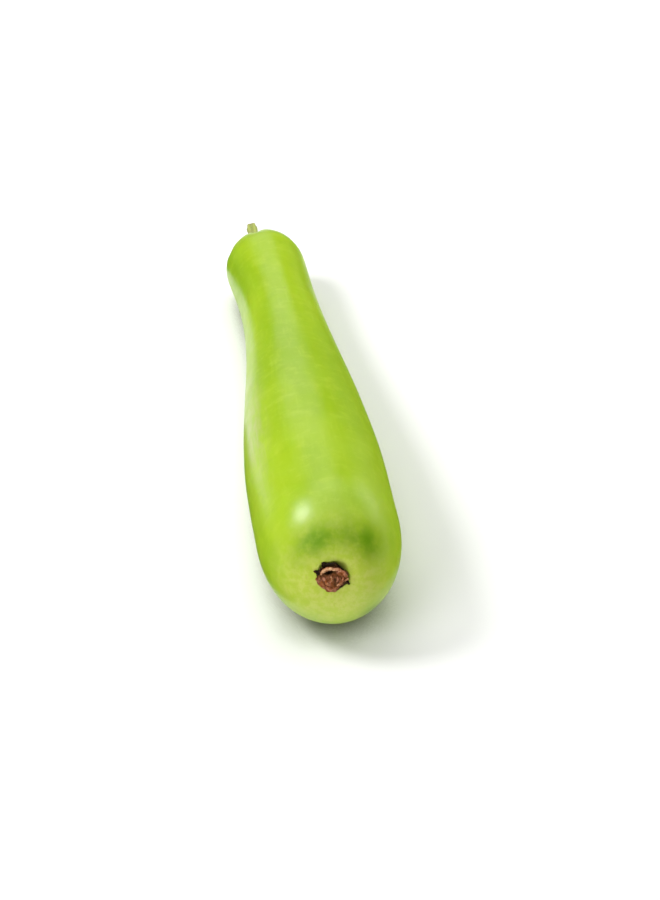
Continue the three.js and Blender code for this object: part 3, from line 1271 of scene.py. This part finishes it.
@dataclass
class StemStalk:
    """The cut stem, with its ribs and its down."""

    form: GourdForm
    seating: Seating
    length: float = 36.0 * MM
    radius: float = 3.4 * MM
    foot_radius: float = 6.0 * MM
    foot_height: float = 8.0 * MM
    cut_radius: float = 4.0 * MM
    cut_from: float = 0.7
    cut_rounding: float = 0.6 * MM
    cut_corner_share: float = 0.3
    cut_hollow: float = 0.9 * MM
    cut_shares: tuple[float, ...] = (0.8, 0.62, 0.45, 0.3, 0.15)
    cut_browning: float = 3.5 * MM
    cut_ragged: float = 0.25 * MM
    cut_ragged_scale: float = 900.0
    cut_ragged_from: float = 0.96
    cut_face_edge: tuple[float, float] = (-0.1 * MM, 0.5 * MM)
    cut_face_shade: float = 0.2
    cut_side_shade: float = 0.75
    root_depth: float = 2.5 * MM
    root_share: float = 0.7
    shaft_from: float = -1.25 * MM
    rib: float = 0.09
    rib_bluntness: float = 0.8
    rib_from: float = 0.1
    twist: float = 0.5
    side_curve: float = 0.5 * MM
    lift_curve: float = 2.5 * MM
    segments: int = 80
    rings: int = 70
    roughness: float = 0.12 * MM
    rough_scale: float = 420.0
    fine_roughness: float = 0.05 * MM
    fine_rough_scale: float = 1100.0
    hairs: int = 420
    hair_sides: int = 3
    hair_length: float = 1.3 * MM
    hair_shortest: float = 0.5
    hair_radius: float = 0.045 * MM
    hair_root: float = 0.15 * MM
    hair_lean: float = 0.5
    hair_free_ends: tuple[float, float] = (0.5 * MM, 1.5 * MM)
    seed: int = 11

    def shaft_radius(self, height: float) -> float:
        """Radius at a height above the crown: foot, shaft and swollen cut.

        Args:
            height: Height above the crown.

        Returns:
            The radius without ribs.
        """
        foot = clamp(1.0 - height / self.foot_height) ** 2
        cut = smoothstep(height, self.length * self.cut_from, self.length)
        return mix(self.radius, self.foot_radius, foot) + (self.cut_radius - self.radius) * cut

    def profile(self) -> list[tuple[float, float]]:
        """Half section from the buried root to the middle of the cut face.

        Returns:
            Its points.
        """
        points = [(0.0, -self.root_depth), (self.foot_radius * self.root_share, -self.root_depth)]
        for ring in range(self.rings + 1):
            height = mix(self.shaft_from, self.length - self.cut_rounding, ring / self.rings)
            points.append((self.shaft_radius(height), height))
        rim = self.cut_radius - self.cut_rounding
        corner = self.cut_corner_share * self.cut_rounding
        points += [(self.cut_radius - corner, self.length - corner), (rim, self.length)]
        for share in self.cut_shares:
            sunk = self.cut_hollow * (1.0 - share**2)
            points.append((rim * share, self.length - sunk))
        points.append((0.0, self.length - self.cut_hollow))
        return points

    def rib_height(self, angle: float) -> float:
        """Height of the ribs round the stalk, from -1 in a groove to 1 on a rib."""
        wave = math.cos(self.form.lobes * angle)
        return math.copysign(abs(wave) ** self.rib_bluntness, wave)

    def bent(self, point: Vector) -> Vector:
        """Twists, bends and places a point of the straight stalk.

        Args:
            point: The point, y above the crown.

        Returns:
            The point in the part's frame.
        """
        above = clamp(point.y / self.length)
        turned = Matrix.Rotation(self.twist * above, 3, "Y") @ point
        turned.x += self.side_curve * above**2
        turned.z += self.lift_curve * above**2
        return self.seating.matrix @ (self.form.spine_frame(self.form.crown_face) @ turned)

    def build(self, finish: Finish, down_finish: Finish) -> list[Piece]:
        """Models the stalk and its down.

        Args:
            finish: The stalk's finish.
            down_finish: The hairs' finish.

        Returns:
            The stalk and the down.
        """
        stalk = finished_piece(self.stalk_mesh(), "Stem_Stalk", finish)
        register_piece(stalk, Node.STEM)
        down = finished_piece(self.down_mesh(), "Stem_Down", down_finish)
        register_piece(down, Node.STEM)
        return [stalk, down]

    def stalk_mesh(self) -> Mesh:
        """The ribbed stalk, as one closed body.

        Returns:
            Its mesh.
        """
        bm = spin_profile(self.profile(), self.segments)
        grown = bm.verts.layers.float_vector.new("grown")
        rib_layer = bm.verts.layers.float.new("rib")
        cut_layer = bm.verts.layers.float.new("cut")
        for vert in bm.verts:
            radius = math.hypot(vert.co.x, vert.co.z)
            angle = math.atan2(vert.co.x, vert.co.z)
            above = clamp(vert.co.y / self.length)
            vert[grown] = vert.co.copy()
            ribs = self.rib_height(angle) * smoothstep(above, 0.0, self.rib_from)
            rough = noise.noise(vert.co * self.rough_scale) * self.roughness
            rough += noise.noise(vert.co * self.fine_rough_scale) * self.fine_roughness
            radius += radius * self.rib * ribs + rough * smoothstep(radius, 0.0, self.radius)
            straight = ringed(radius, angle, vert.co.y)
            face = smoothstep(self.cut_radius - radius, *self.cut_face_edge)
            end = smoothstep(vert.co.y, self.length - self.cut_browning, self.length)
            ragged = noise.noise(vert.co * self.cut_ragged_scale) * self.cut_ragged
            straight.y += ragged * smoothstep(above, self.cut_ragged_from, 1.0)
            vert[rib_layer] = clamp(0.5 + 0.5 * ribs)
            vert[cut_layer] = clamp(self.cut_side_shade * end + self.cut_face_shade * end * face)
            vert.co = self.bent(straight)
        bmesh.ops.recalc_face_normals(bm, faces=bm.faces)
        return bm

    def down_mesh(self) -> Mesh:
        """Short hairs that stand out from the stalk.

        Returns:
            Their mesh.
        """
        draw = random.Random(self.seed)
        lowest, highest = self.hair_free_ends[0], self.length - self.hair_free_ends[1]
        bm = bmesh.new()
        for _ in range(self.hairs):
            height = mix(lowest, highest, draw.random())
            angle = TAU * draw.random()
            length = self.hair_length * mix(self.hair_shortest, 1.0, draw.random())
            lean = Matrix.Rotation(mix(-self.hair_lean, self.hair_lean, draw.random()), 4, "X")
            made = bmesh.ops.create_cone(
                bm,
                cap_ends=True,
                segments=self.hair_sides,
                radius1=self.hair_radius,
                radius2=0.0,
                depth=length,
            )
            ribs = self.rib_height(angle) * smoothstep(height / self.length, 0.0, self.rib_from)
            foot = self.shaft_radius(height) * (1.0 + self.rib * ribs) - self.hair_root
            out = ringed(1.0, angle, 0.0)
            stand = out.to_track_quat("Z", "Y").to_matrix().to_4x4() @ lean
            base = out * foot + Vector((0.0, height, 0.0))
            placed = Matrix.Translation(base) @ stand @ Matrix.Translation((0.0, 0.0, length / 2.0))
            for vert in made["verts"]:
                vert.co = self.bent(placed @ vert.co)
        bmesh.ops.recalc_face_normals(bm, faces=bm.faces)
        return bm


@dataclass(frozen=True)
class Fold:
    """One curled fold or torn point of dried tissue, lying along a bent path.

    Attributes:
        start: Where it begins on the face, sideways and upwards, in millimetres.
        bend: The point that pulls its path into a curve.
        end: Where it ends.
        width: Half its width, in millimetres.
        lift: How far its middle stands off the seat, in millimetres.
        rise: Half its thickness, in millimetres.
        tone: 0 for nearly black, 1 for pale tan.
        taper: 0 for two blunt ends, 1 for a point at the far end.
        end_lift: How much further its far end stands off the seat, in millimetres.
    """

    start: tuple[float, float]
    bend: tuple[float, float]
    end: tuple[float, float]
    width: float
    lift: float
    rise: float
    tone: float
    taper: float = 0.0
    end_lift: float = 0.0

    def path(self, share: float) -> tuple[Vector, Vector]:
        """Point and direction of the path, sideways and upwards.

        Args:
            share: 0 at the start, 1 at the end.

        Returns:
            The point and the unit direction, in millimetres.
        """
        first, pull, last = Vector(self.start), Vector(self.bend), Vector(self.end)
        rest = 1.0 - share
        point = first * rest**2 + pull * (2.0 * rest * share) + last * share**2
        heading = (pull - first) * rest + (last - pull) * share
        return point, heading.normalized()


@dataclass(frozen=True)
class Corner:
    """One torn corner of the remnant's rim.

    Attributes:
        angle: Round the rim from its upper side towards +X, in degrees.
        reach: How far it reaches past the plain rim, in millimetres.
        spread: Half its width round the rim, in degrees.
    """

    angle: float
    reach: float
    spread: float


@dataclass(frozen=True)
class RimShade:
    """A darker or paler stretch of the remnant's rim.

    Attributes:
        angle: Round the rim from its upper side towards +X, in degrees.
        spread: Half its width, in radians.
        step: Change of tone in its middle, less than nothing where it is darker.
    """

    angle: float
    spread: float
    step: float


@dataclass
class FlowerRemnant:
    """The dried, torn base of the flower in its sunk seat.

    The folds, the corners and the relief of the face are in millimetres, and the rest in metres.
    """

    form: GourdForm
    seating: Seating
    radius: float = 7.8 * MM
    edge_share: float = 0.98
    edge_depth: float = 0.1 * MM
    root_radius: float = 7.0 * MM
    root_share: float = 0.95
    root_top: float = 0.6 * MM
    root_depth: float = 2.4 * MM
    face_lift: float = 1.0 * MM
    segments: int = 144
    rings: int = 48
    fold_rings: int = 26
    fold_steps: int = 18
    tip_rings: int = 20
    tip_steps: int = 12
    bluntness: float = 0.7
    fold_crumple_scale: float = 0.95
    fold_crumple_layers: tuple[float, float, int] = (0.6, 2.1, 4)
    fold_crumple: float = 0.25
    fold_swell: float = 0.35
    fold_crease_scale: tuple[float, float, float] = (2.2, 6.0, 19.0)
    fold_crease: float = 0.35
    fold_tone: float = 0.66
    # Painted light on the folds' outer sides, and painted shading that follows their creases and
    # crumples
    fold_top_painted_light: float = 0.30
    fold_crease_painted_shading: float = 0.2
    fold_crumple_painted_shading: float = 0.22
    face_height: float = 0.75
    mound_height: float = 0.35
    mound_centre: tuple[float, float] = (-0.5, -2.6)
    mound_reach: float = 4.5
    slit_depth: float = 1.9
    slit_centre: tuple[float, float] = (-1.8, 2.7)
    slit_run: tuple[float, float] = (0.96, 0.28)
    slit_length: float = 2.3
    slit_width: float = 0.85
    groove_depth: float = 0.7
    groove_at: float = 1.5
    groove_slant: float = 0.1
    groove_width: float = 0.6
    groove_middle: float = -2.2
    groove_length: float = 2.4
    trough_depth: float = 0.5
    trough_at: float = 7.3
    trough_width: float = 1.2
    trough_rise: tuple[float, float] = (-1.0, 4.0)
    edge_drop: float = 0.7
    edge_reach: tuple[float, float] = (7.0, 10.0)
    crumple: float = 0.30
    crumple_scale: float = 0.55
    crumple_layers: tuple[float, float, int] = (0.7, 2.1, 4)
    torn_from: float = 0.35
    tear: float = 0.05
    tear_scale: float = 700.0
    rim_reach: tuple[float, float] = (6.4 * MM, 8.6 * MM)
    # Darker stretches at the top (-25) and upper right (60) are painted shadow under the overhanging
    # skin; the others make the lower right darker and the lower left paler
    rim_shadows_and_tones: tuple[RimShade, ...] = (
        RimShade(-25.0, 0.9, -0.24),
        RimShade(132.0, 0.4, -0.24),
        RimShade(60.0, 0.6, -0.144),
        RimShade(228.0, 0.7, 0.2),
    )
    darkest_rim: float = -0.24
    plain_tone: float = 0.25
    plain_tone_height: float = 0.6
    # Painted shading: the floor is paler where it stands higher and darker in the slit and hollows
    painted_shading_by_height: float = 0.28
    root_tone: float = 0.05
    corners: tuple[Corner, ...] = (
        Corner(-73.0, 1.9, 13.0),
        Corner(-31.0, 1.7, 15.0),
        Corner(13.0, 0.8, 15.0),
        Corner(70.0, 0.9, 16.0),
        Corner(106.0, 1.6, 13.0),
        Corner(188.0, 1.0, 26.0),
        Corner(246.0, 1.5, 26.0),
    )
    tips: tuple[Fold, ...] = (
        Fold((-6.4, 2.2), (-8.6, 3.2), (-10.6, 3.5), 1.9, 0.6, 0.6, 0.10, 0.7, 0.1),
        Fold((-4.0, 6.6), (-5.0, 7.6), (-5.4, 9.0), 1.9, 0.4, 0.6, 0.03, 0.4, -0.3),
        Fold((0.6, 7.2), (1.6, 7.7), (2.2, 8.5), 1.9, 0.4, 0.6, 0.04, 0.4, -0.3),
        Fold((7.4, -1.7), (8.8, -2.7), (9.9, -3.7), 1.0, 0.8, 0.6, 0.02, 0.2, 0.2),
        Fold((-1.6, -6.2), (-2.0, -7.6), (-2.0, -8.9), 2.2, 0.4, 0.6, 0.44, 0.35, 0.0),
        Fold((1.0, -6.6), (1.0, -7.8), (0.8, -8.7), 1.9, 0.4, 0.5, 0.36, 0.3, 0.0),
        Fold((-6.6, -0.8), (-8.2, -1.6), (-9.4, -1.8), 2.1, 0.3, 0.5, 0.46, 0.45, -0.1),
        Fold((-4.6, -4.4), (-6.0, -5.0), (-6.4, -5.2), 2.2, 0.3, 0.5, 0.52, 0.3, -0.1),
        Fold((2.6, -6.0), (4.4, -5.8), (6.0, -4.7), 0.8, 0.6, 0.6, 0.04, 0.2, 0.0),
        Fold((-4.4, 7.2), (-1.0, 8.3), (2.8, 7.6), 0.9, 0.5, 0.6, 0.03),
        Fold((6.6, 4.2), (8.0, 3.4), (9.0, 1.2), 0.9, 0.4, 0.5, 0.20, 0.3),
    )
    folds: tuple[Fold, ...] = (
        Fold((-6.5, 1.4), (-5.6, 4.6), (-2.0, 5.3), 0.95, 1.4, 0.8, 0.86),
        Fold((-4.4, 4.6), (-1.4, 6.4), (1.6, 4.7), 0.95, 1.6, 0.8, 1.0),
        Fold((0.6, 4.9), (3.0, 5.8), (5.4, 4.0), 1.0, 1.4, 0.75, 0.76),
        Fold((4.4, 4.4), (7.2, 3.4), (7.9, 0.4), 1.1, 1.2, 0.8, 0.62),
        Fold((2.2, 3.0), (4.4, 3.2), (6.0, 1.0), 1.0, 1.0, 0.7, 0.50),
        Fold((-7.0, 1.4), (-7.4, -0.6), (-6.2, -2.4), 0.8, 1.1, 0.7, 0.42),
        Fold((-6.2, -1.2), (-5.8, -3.4), (-3.8, -5.2), 0.9, 1.0, 0.75, 0.56),
        Fold((-4.9, 0.4), (-4.4, -1.6), (-3.0, -2.6), 0.9, 1.2, 0.7, 0.66),
        Fold((-3.8, -2.2), (-2.6, -4.2), (-1.0, -4.6), 0.9, 1.2, 0.8, 0.68),
        Fold((-3.6, -5.0), (-1.8, -6.8), (0.6, -7.2), 0.95, 0.9, 0.75, 0.60),
        Fold((0.0, -6.9), (2.4, -6.2), (4.2, -4.8), 0.8, 1.0, 0.7, 0.46),
        Fold((-0.6, 1.5), (0.0, -0.2), (-0.8, -2.6), 0.65, 1.5, 0.7, 0.74),
        Fold((2.8, -4.6), (4.4, -3.6), (5.6, -2.4), 0.85, 1.4, 0.7, 0.84),
        Fold((5.0, -2.6), (6.2, -1.0), (6.4, 0.6), 0.8, 1.2, 0.7, 0.55),
        Fold((2.6, 0.9), (3.4, -0.6), (2.6, -2.8), 0.7, 1.0, 0.6, 0.46),
        Fold((4.0, 0.6), (5.2, -0.4), (4.6, -1.8), 0.6, 0.9, 0.6, 0.40),
        Fold((7.0, -1.8), (8.0, -0.8), (9.0, 0.4), 0.75, 1.0, 0.6, 0.86),
        Fold((-7.4, 2.6), (-7.0, 4.4), (-5.2, 6.0), 0.9, 0.6, 0.6, 0.16),
    )

    def placed(self, point: Vector) -> Vector:
        """Carries a point of the remnant onto the fruit."""
        return self.seating.matrix @ (self.form.spine_frame(self.form.scar_face) @ point)

    def build(self, finish: Finish) -> list[Piece]:
        """Models the crumpled base, the folds on it and its torn tips.

        Args:
            finish: The dried tissue's finish.

        Returns:
            The base, the folds and the tips.
        """
        base = finished_piece(self.base_mesh(), "Flower_Base", finish)
        fold_mesh = self.fold_mesh(self.folds, self.fold_rings, self.fold_steps)
        tip_mesh = self.fold_mesh(self.tips, self.tip_rings, self.tip_steps)
        folds = finished_piece(fold_mesh, "Flower_Folds", finish)
        tips = finished_piece(tip_mesh, "Flower_Tips", finish)
        pieces = [base, folds, tips]
        for piece in pieces:
            register_piece(piece, Node.SCAR)
        return pieces

    def height(self, x: float, z: float) -> float:
        """How far the crumpled floor of the remnant stands off its seat.

        Args:
            x: Sideways from the middle.
            z: Upwards from the middle.

        Returns:
            The height, less than nothing in the slit.
        """
        across, up = x / MM, z / MM
        reach = math.hypot(across, up)
        off_mound = math.hypot(across - self.mound_centre[0], up - self.mound_centre[1])
        mound = self.mound_height * bell(off_mound, 0.0, self.mound_reach)
        past, over = across - self.slit_centre[0], up - self.slit_centre[1]
        run, rise = self.slit_run
        slit = self.slit_depth * bell(past * run + over * rise, 0.0, self.slit_length)
        slit *= bell(over * run - past * rise, 0.0, self.slit_width)
        beside = across - self.groove_at + self.groove_slant * up
        groove = self.groove_depth * bell(beside, 0.0, self.groove_width)
        groove *= bell(up, self.groove_middle, self.groove_length)
        trough = self.trough_depth * bell(reach, self.trough_at, self.trough_width)
        trough *= smoothstep(up, *self.trough_rise)
        spot = Vector((across, up, 0.0)) * self.crumple_scale
        folds = self.crumple * noise.fractal(spot, *self.crumple_layers)
        edge = self.edge_drop * smoothstep(reach, *self.edge_reach)
        return (self.face_height + mound - slit - groove - trough + folds - edge) * MM

    def torn(self, angle: float) -> float:
        """Share that the torn rim reaches at an angle, over the plain rim.

        Args:
            angle: Round the rim, from its upper side.

        Returns:
            The share, 1 for the plain rim.
        """
        reach = 0.0
        for corner in self.corners:
            beside = sector(angle, math.radians(corner.angle), math.radians(corner.spread))
            reach += corner.reach * MM * beside
        return 1.0 + reach / self.radius

    def rim_tone(self, angle: float) -> float:
        """How much paler the torn rim is at an angle, less than nothing where it is darker.

        Args:
            angle: Round the rim, from its upper side.

        Returns:
            The step in tone.
        """
        pale = dark = 0.0
        for shade in self.rim_shadows_and_tones:
            step = shade.step * sector(angle, math.radians(shade.angle), shade.spread)
            pale += max(step, 0.0)
            dark += min(step, 0.0)
        return pale + max(dark, self.darkest_rim)

    def profile(self) -> list[tuple[float, float]]:
        """Half section from the middle of the face, round the rim, to the middle of the root.

        Returns:
            Its points.
        """
        step = self.radius / self.rings
        points = [(step * ring, -self.face_lift) for ring in range(self.rings + 1)]
        points += [
            (self.radius * self.edge_share, self.edge_depth),
            (self.root_radius, self.root_top),
            (self.root_radius * self.root_share, self.root_depth),
            (0.0, self.root_depth),
        ]
        return points

    def base_mesh(self) -> Mesh:
        """The dark crumpled floor of the remnant, with its slit.

        Returns:
            Its mesh.
        """
        bm = spin_profile(self.profile(), self.segments)
        tone = bm.verts.layers.float.new("tone")
        for vert in bm.verts:
            x, z = vert.co.x, vert.co.z
            radius = math.hypot(x, z)
            spread = smoothstep(radius, self.torn_from * self.radius, self.radius)
            ragged = mix(1.0, self.torn(math.atan2(x, z)), spread)
            ragged += self.tear * spread * noise.noise(vert.co * self.tear_scale)
            x, z = x * ragged, z * ragged
            if vert.co.y < -self.face_lift / 2.0:
                height = self.height(x, z)
                vert.co.y = -height
                # painted shadow on the rim and painted shading by height
                rim = smoothstep(math.hypot(x, z), *self.rim_reach) * self.rim_tone(math.atan2(x, z))
                rise = self.painted_shading_by_height * (height / MM - self.plain_tone_height)
                vert[tone] = clamp(self.plain_tone + rise + rim)
            else:
                vert[tone] = self.root_tone
            vert.co = self.placed(Vector((x, vert.co.y, z)))
        bmesh.ops.recalc_face_normals(bm, faces=bm.faces)
        return bm

    def fold_mesh(self, folds: Sequence[Fold], along: int, around: int) -> Mesh:
        """Closed, crumpled rolls along the paths of some folds.

        Args:
            folds: The folds to model.
            along: Rings along each fold.
            around: Steps round each fold.

        Returns:
            All of them in one mesh.
        """
        bm = bmesh.new()
        tone = bm.verts.layers.float.new("tone")
        for fold in folds:
            made = bmesh.ops.create_uvsphere(bm, u_segments=around, v_segments=along, radius=1.0)
            for vert in made["verts"]:
                vert.co, vert[tone] = self.curled(fold, vert.co)
        bmesh.ops.recalc_face_normals(bm, faces=bm.faces)
        return bm

    def curled(self, fold: Fold, ball: Vector) -> tuple[Vector, float]:
        """Carries a point of a unit ball onto a fold.

        Args:
            fold: The fold.
            ball: The point, with the ball's axis along the fold.

        Returns:
            The place in the part's frame, and the tone there.
        """
        share = 0.5 + 0.5 * ball.z
        around = math.hypot(ball.x, ball.y)
        swell = around ** (self.bluntness - 1.0) if around > TINY else 0.0
        side, out = ball.x * swell, ball.y * swell
        taper = 1.0 - fold.taper * share
        point, heading = fold.path(share)
        across = Vector((heading.y, -heading.x))
        spot = Vector((point.x + side, point.y + out, share)) * self.fold_crumple_scale
        crumpled = noise.fractal(spot, *self.fold_crumple_layers)
        scale = self.fold_crease_scale
        creased = noise.noise(Vector((side * scale[0], share * scale[1], fold.tone * scale[2])))
        width = fold.width * taper * (1.0 + self.fold_swell * crumpled)
        flat = point + across * (side * width)
        height = fold.lift + fold.end_lift * share**2 + out * fold.rise * taper
        height += self.fold_crease * creased + self.fold_crumple * crumpled
        # each fold's own tone, with painted light on its outer side and painted shading by crease and
        # crumple height
        shade = self.fold_tone + self.fold_top_painted_light * out + self.fold_crease_painted_shading * creased
        shade = fold.tone * shade + self.fold_crumple_painted_shading * crumpled
        return self.placed(Vector((flat.x, -height, flat.y)) * MM), clamp(shade)


# ----------------------------------------------------------------------- studio


@dataclass(frozen=True)
class SoftLight:
    """One soft box.

    Attributes:
        name: Name of the light.
        azimuth: Degrees, 0 towards +Y and 90 towards +X.
        elevation: Degrees above the ground.
        distance: From the middle of the fruit.
        width: Side of the box.
        height: Other side of the box.
        power: Watts.
        mirrored: Whether glossy surfaces show it, or it only fills.
    """

    name: str
    azimuth: float
    elevation: float
    distance: float
    width: float
    height: float
    power: float
    mirrored: bool = True

    def build(self, centre: Vector) -> Piece:
        """Adds the light, aimed at a point.

        Args:
            centre: The point.

        Returns:
            The light.
        """
        data = bpy.data.lights.new(self.name, "AREA")
        data.shape = "ELLIPSE"
        data.size = self.width
        data.size_y = self.height
        data.energy = self.power
        light = bpy.data.objects.new(self.name, data)
        bpy.context.scene.collection.objects.link(light)
        away = bearing(self.azimuth, self.elevation)
        light.location = centre + away * self.distance
        light.rotation_euler = away.to_track_quat("Z", "Y").to_euler()
        light.visible_glossy = self.mirrored
        return light


@dataclass(frozen=True)
class Flag:
    """A dark cloth lying on the floor, which only takes the floor's glare off the glossy skin.

    Attributes:
        name: Name of the flag.
        low: Its corner with the lowest x and y.
        high: Its corner with the highest x and y.
        height: How far it lies above the ground.
    """

    name: str
    low: tuple[float, float]
    high: tuple[float, float]
    height: float = 1.0 * MM

    def lay(self, finish: Finish) -> Piece:
        """Lays the flag, seen only in reflections.

        Args:
            finish: The flags' finish.

        Returns:
            The flag.
        """
        bm = bmesh.new()
        bmesh.ops.create_grid(bm, x_segments=2, y_segments=2, size=0.5)
        for vert in bm.verts:
            vert.co.x = mix(self.low[0], self.high[0], vert.co.x + 0.5)
            vert.co.y = mix(self.low[1], self.high[1], vert.co.y + 0.5)
            vert.co.z = self.height
        cloth = finished_piece(bm, self.name, finish)
        keep_unlit(cloth, in_camera=False, in_gloss=True)
        return cloth


@dataclass(frozen=True)
class Studio:
    """White floor and backdrop, soft boxes, dim even surroundings and the camera."""

    floor_radius: float = 6.0
    floor_segments: int = 96
    backdrop_radius: float = 5.9
    backdrop_segments: int = 64
    world_strength: float = 0.05
    camera_azimuth: float = -6.99
    camera_elevation: float = 35.6
    camera_distance: float = 1.15
    camera_pivot: tuple[float, float, float] = (0.0, 0.0959, 0.044)
    camera_aim: tuple[float, float, float] = (0.0202, 0.0685, 0.0094)
    camera_lens: float = 69.6
    camera_sensor: float = 36.0
    camera_clip: float = 10.0 * MM
    lights: tuple[SoftLight, ...] = (
        SoftLight("Soft_Overhead_Wide", -10.0, 80.0, 1.5, 2.4, 2.4, 11.0),
        SoftLight("Soft_Overhead", -20.0, 74.0, 1.5, 1.2, 1.2, 2.8),
        SoftLight("Soft_Key_Left", -83.0, 48.0, 1.3, 0.50, 0.50, 11.2),
        SoftLight("Soft_Back_High", 2.0, 50.0, 1.8, 1.4, 0.7, 3.2),
        SoftLight("Soft_Back_Low", -2.0, 22.0, 2.2, 1.3, 0.8, 3.2),
        SoftLight("Soft_Right", 64.0, 28.0, 1.8, 1.5, 1.1, 7.0),
        SoftLight("Fill_Front_Left", -132.0, 35.0, 1.8, 1.0, 1.0, 9.5, False),
        SoftLight("Fill_Front_Low", -172.0, 14.0, 1.8, 1.0, 0.5, 5.5, False),
        SoftLight("Fill_Right", 75.0, 10.0, 1.5, 1.0, 0.3, 14.0, False),
    )
    flags: tuple[Flag, ...] = (
        Flag("Studio_Flag_Right", (0.07, -0.6), (1.2, 2.0)),
        Flag("Studio_Flag_Left_Front", (-1.2, -0.6), (-0.05, 0.13)),
        Flag("Studio_Flag_Left_Side", (-1.2, 0.13), (-0.28, 0.32)),
        Flag("Studio_Flag_Left_Back", (-1.2, 0.32), (-0.04, 2.0)),
    )

    def build(self, floor: Finish, backdrop: Finish, cloth: Finish) -> Piece:
        """Builds the studio.

        Args:
            floor: The floor's finish.
            backdrop: The backdrop's finish.
            cloth: The flags' finish.

        Returns:
            The camera.
        """
        self.lay_floor(floor)
        self.hang_backdrop(backdrop)
        for flag in self.flags:
            flag.lay(cloth)
        self.light_world()
        low, high = CAD_BOUNDS
        for light in self.lights:
            light.build((low + high) / 2.0)
        bpy.context.scene.view_settings.view_transform = "Standard"
        return self.set_camera()

    def lay_floor(self, finish: Finish) -> None:
        """A wide round floor under the fruit.

        Args:
            finish: The floor's finish.
        """
        bm = bmesh.new()
        bmesh.ops.create_circle(
            bm, cap_ends=True, segments=self.floor_segments, radius=self.floor_radius
        )
        floor = finished_piece(bm, "Studio_Floor", finish)

    def hang_backdrop(self, finish: Finish) -> None:
        """A round backdrop that only the camera sees, so that it adds no light.

        Args:
            finish: The backdrop's finish.
        """
        bm = bmesh.new()
        steps = self.backdrop_segments
        bmesh.ops.create_uvsphere(
            bm, u_segments=steps, v_segments=steps // 2, radius=self.backdrop_radius
        )
        bmesh.ops.reverse_faces(bm, faces=bm.faces)
        backdrop = finished_piece(bm, "Studio_Backdrop", finish)
        keep_unlit(backdrop, in_camera=True, in_gloss=False)

    def light_world(self) -> None:
        """Dim, even surroundings."""
        world = bpy.data.worlds.new("studio_surroundings")
        world.use_nodes = True
        background = world.node_tree.nodes["Background"]
        background.inputs["Color"].default_value = (1.0, 1.0, 1.0, 1.0)
        background.inputs["Strength"].default_value = self.world_strength
        bpy.context.scene.world = world

    def set_camera(self) -> Piece:
        """The camera, looking down along the fruit from its blossom end.

        Returns:
            The camera.
        """
        back = bearing(180.0 - self.camera_azimuth, self.camera_elevation)
        data = bpy.data.cameras.new("Studio_Camera")
        data.sensor_fit = "AUTO"
        data.sensor_width = self.camera_sensor
        data.lens = self.camera_lens
        data.clip_start = self.camera_clip
        camera = bpy.data.objects.new("Studio_Camera", data)
        bpy.context.scene.collection.objects.link(camera)
        camera.location = Vector(self.camera_pivot) + back * self.camera_distance
        camera.rotation_mode = "QUATERNION"
        gaze = Vector(self.camera_aim) - camera.location
        camera.rotation_quaternion = gaze.to_track_quat("-Z", "Y")
        bpy.context.scene.camera = camera
        return camera


def main() -> None:
    """Builds the gourd and its studio, and reports each piece."""
    logging.basicConfig(level=logging.INFO, format="%(name)s: %(message)s")
    form = GourdForm.from_box(*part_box(Node.FRUIT.value))
    skin = FruitSkin(form)
    pieces = [skin.build(GourdSkinFinish().build())]
    stem = StemStalk(form, skin.seating)
    pieces += stem.build(StemFinish().build(), DownFinish().build())
    remnant = FlowerRemnant(form, skin.seating)
    pieces += remnant.build(DriedFlowerFinish().build())
    Studio().build(FloorFinish().build(), BackdropFinish().build(), FlagFinish().build())
    LOG.info("%d pieces built", len(pieces))


if __name__ == "__main__":
    main()
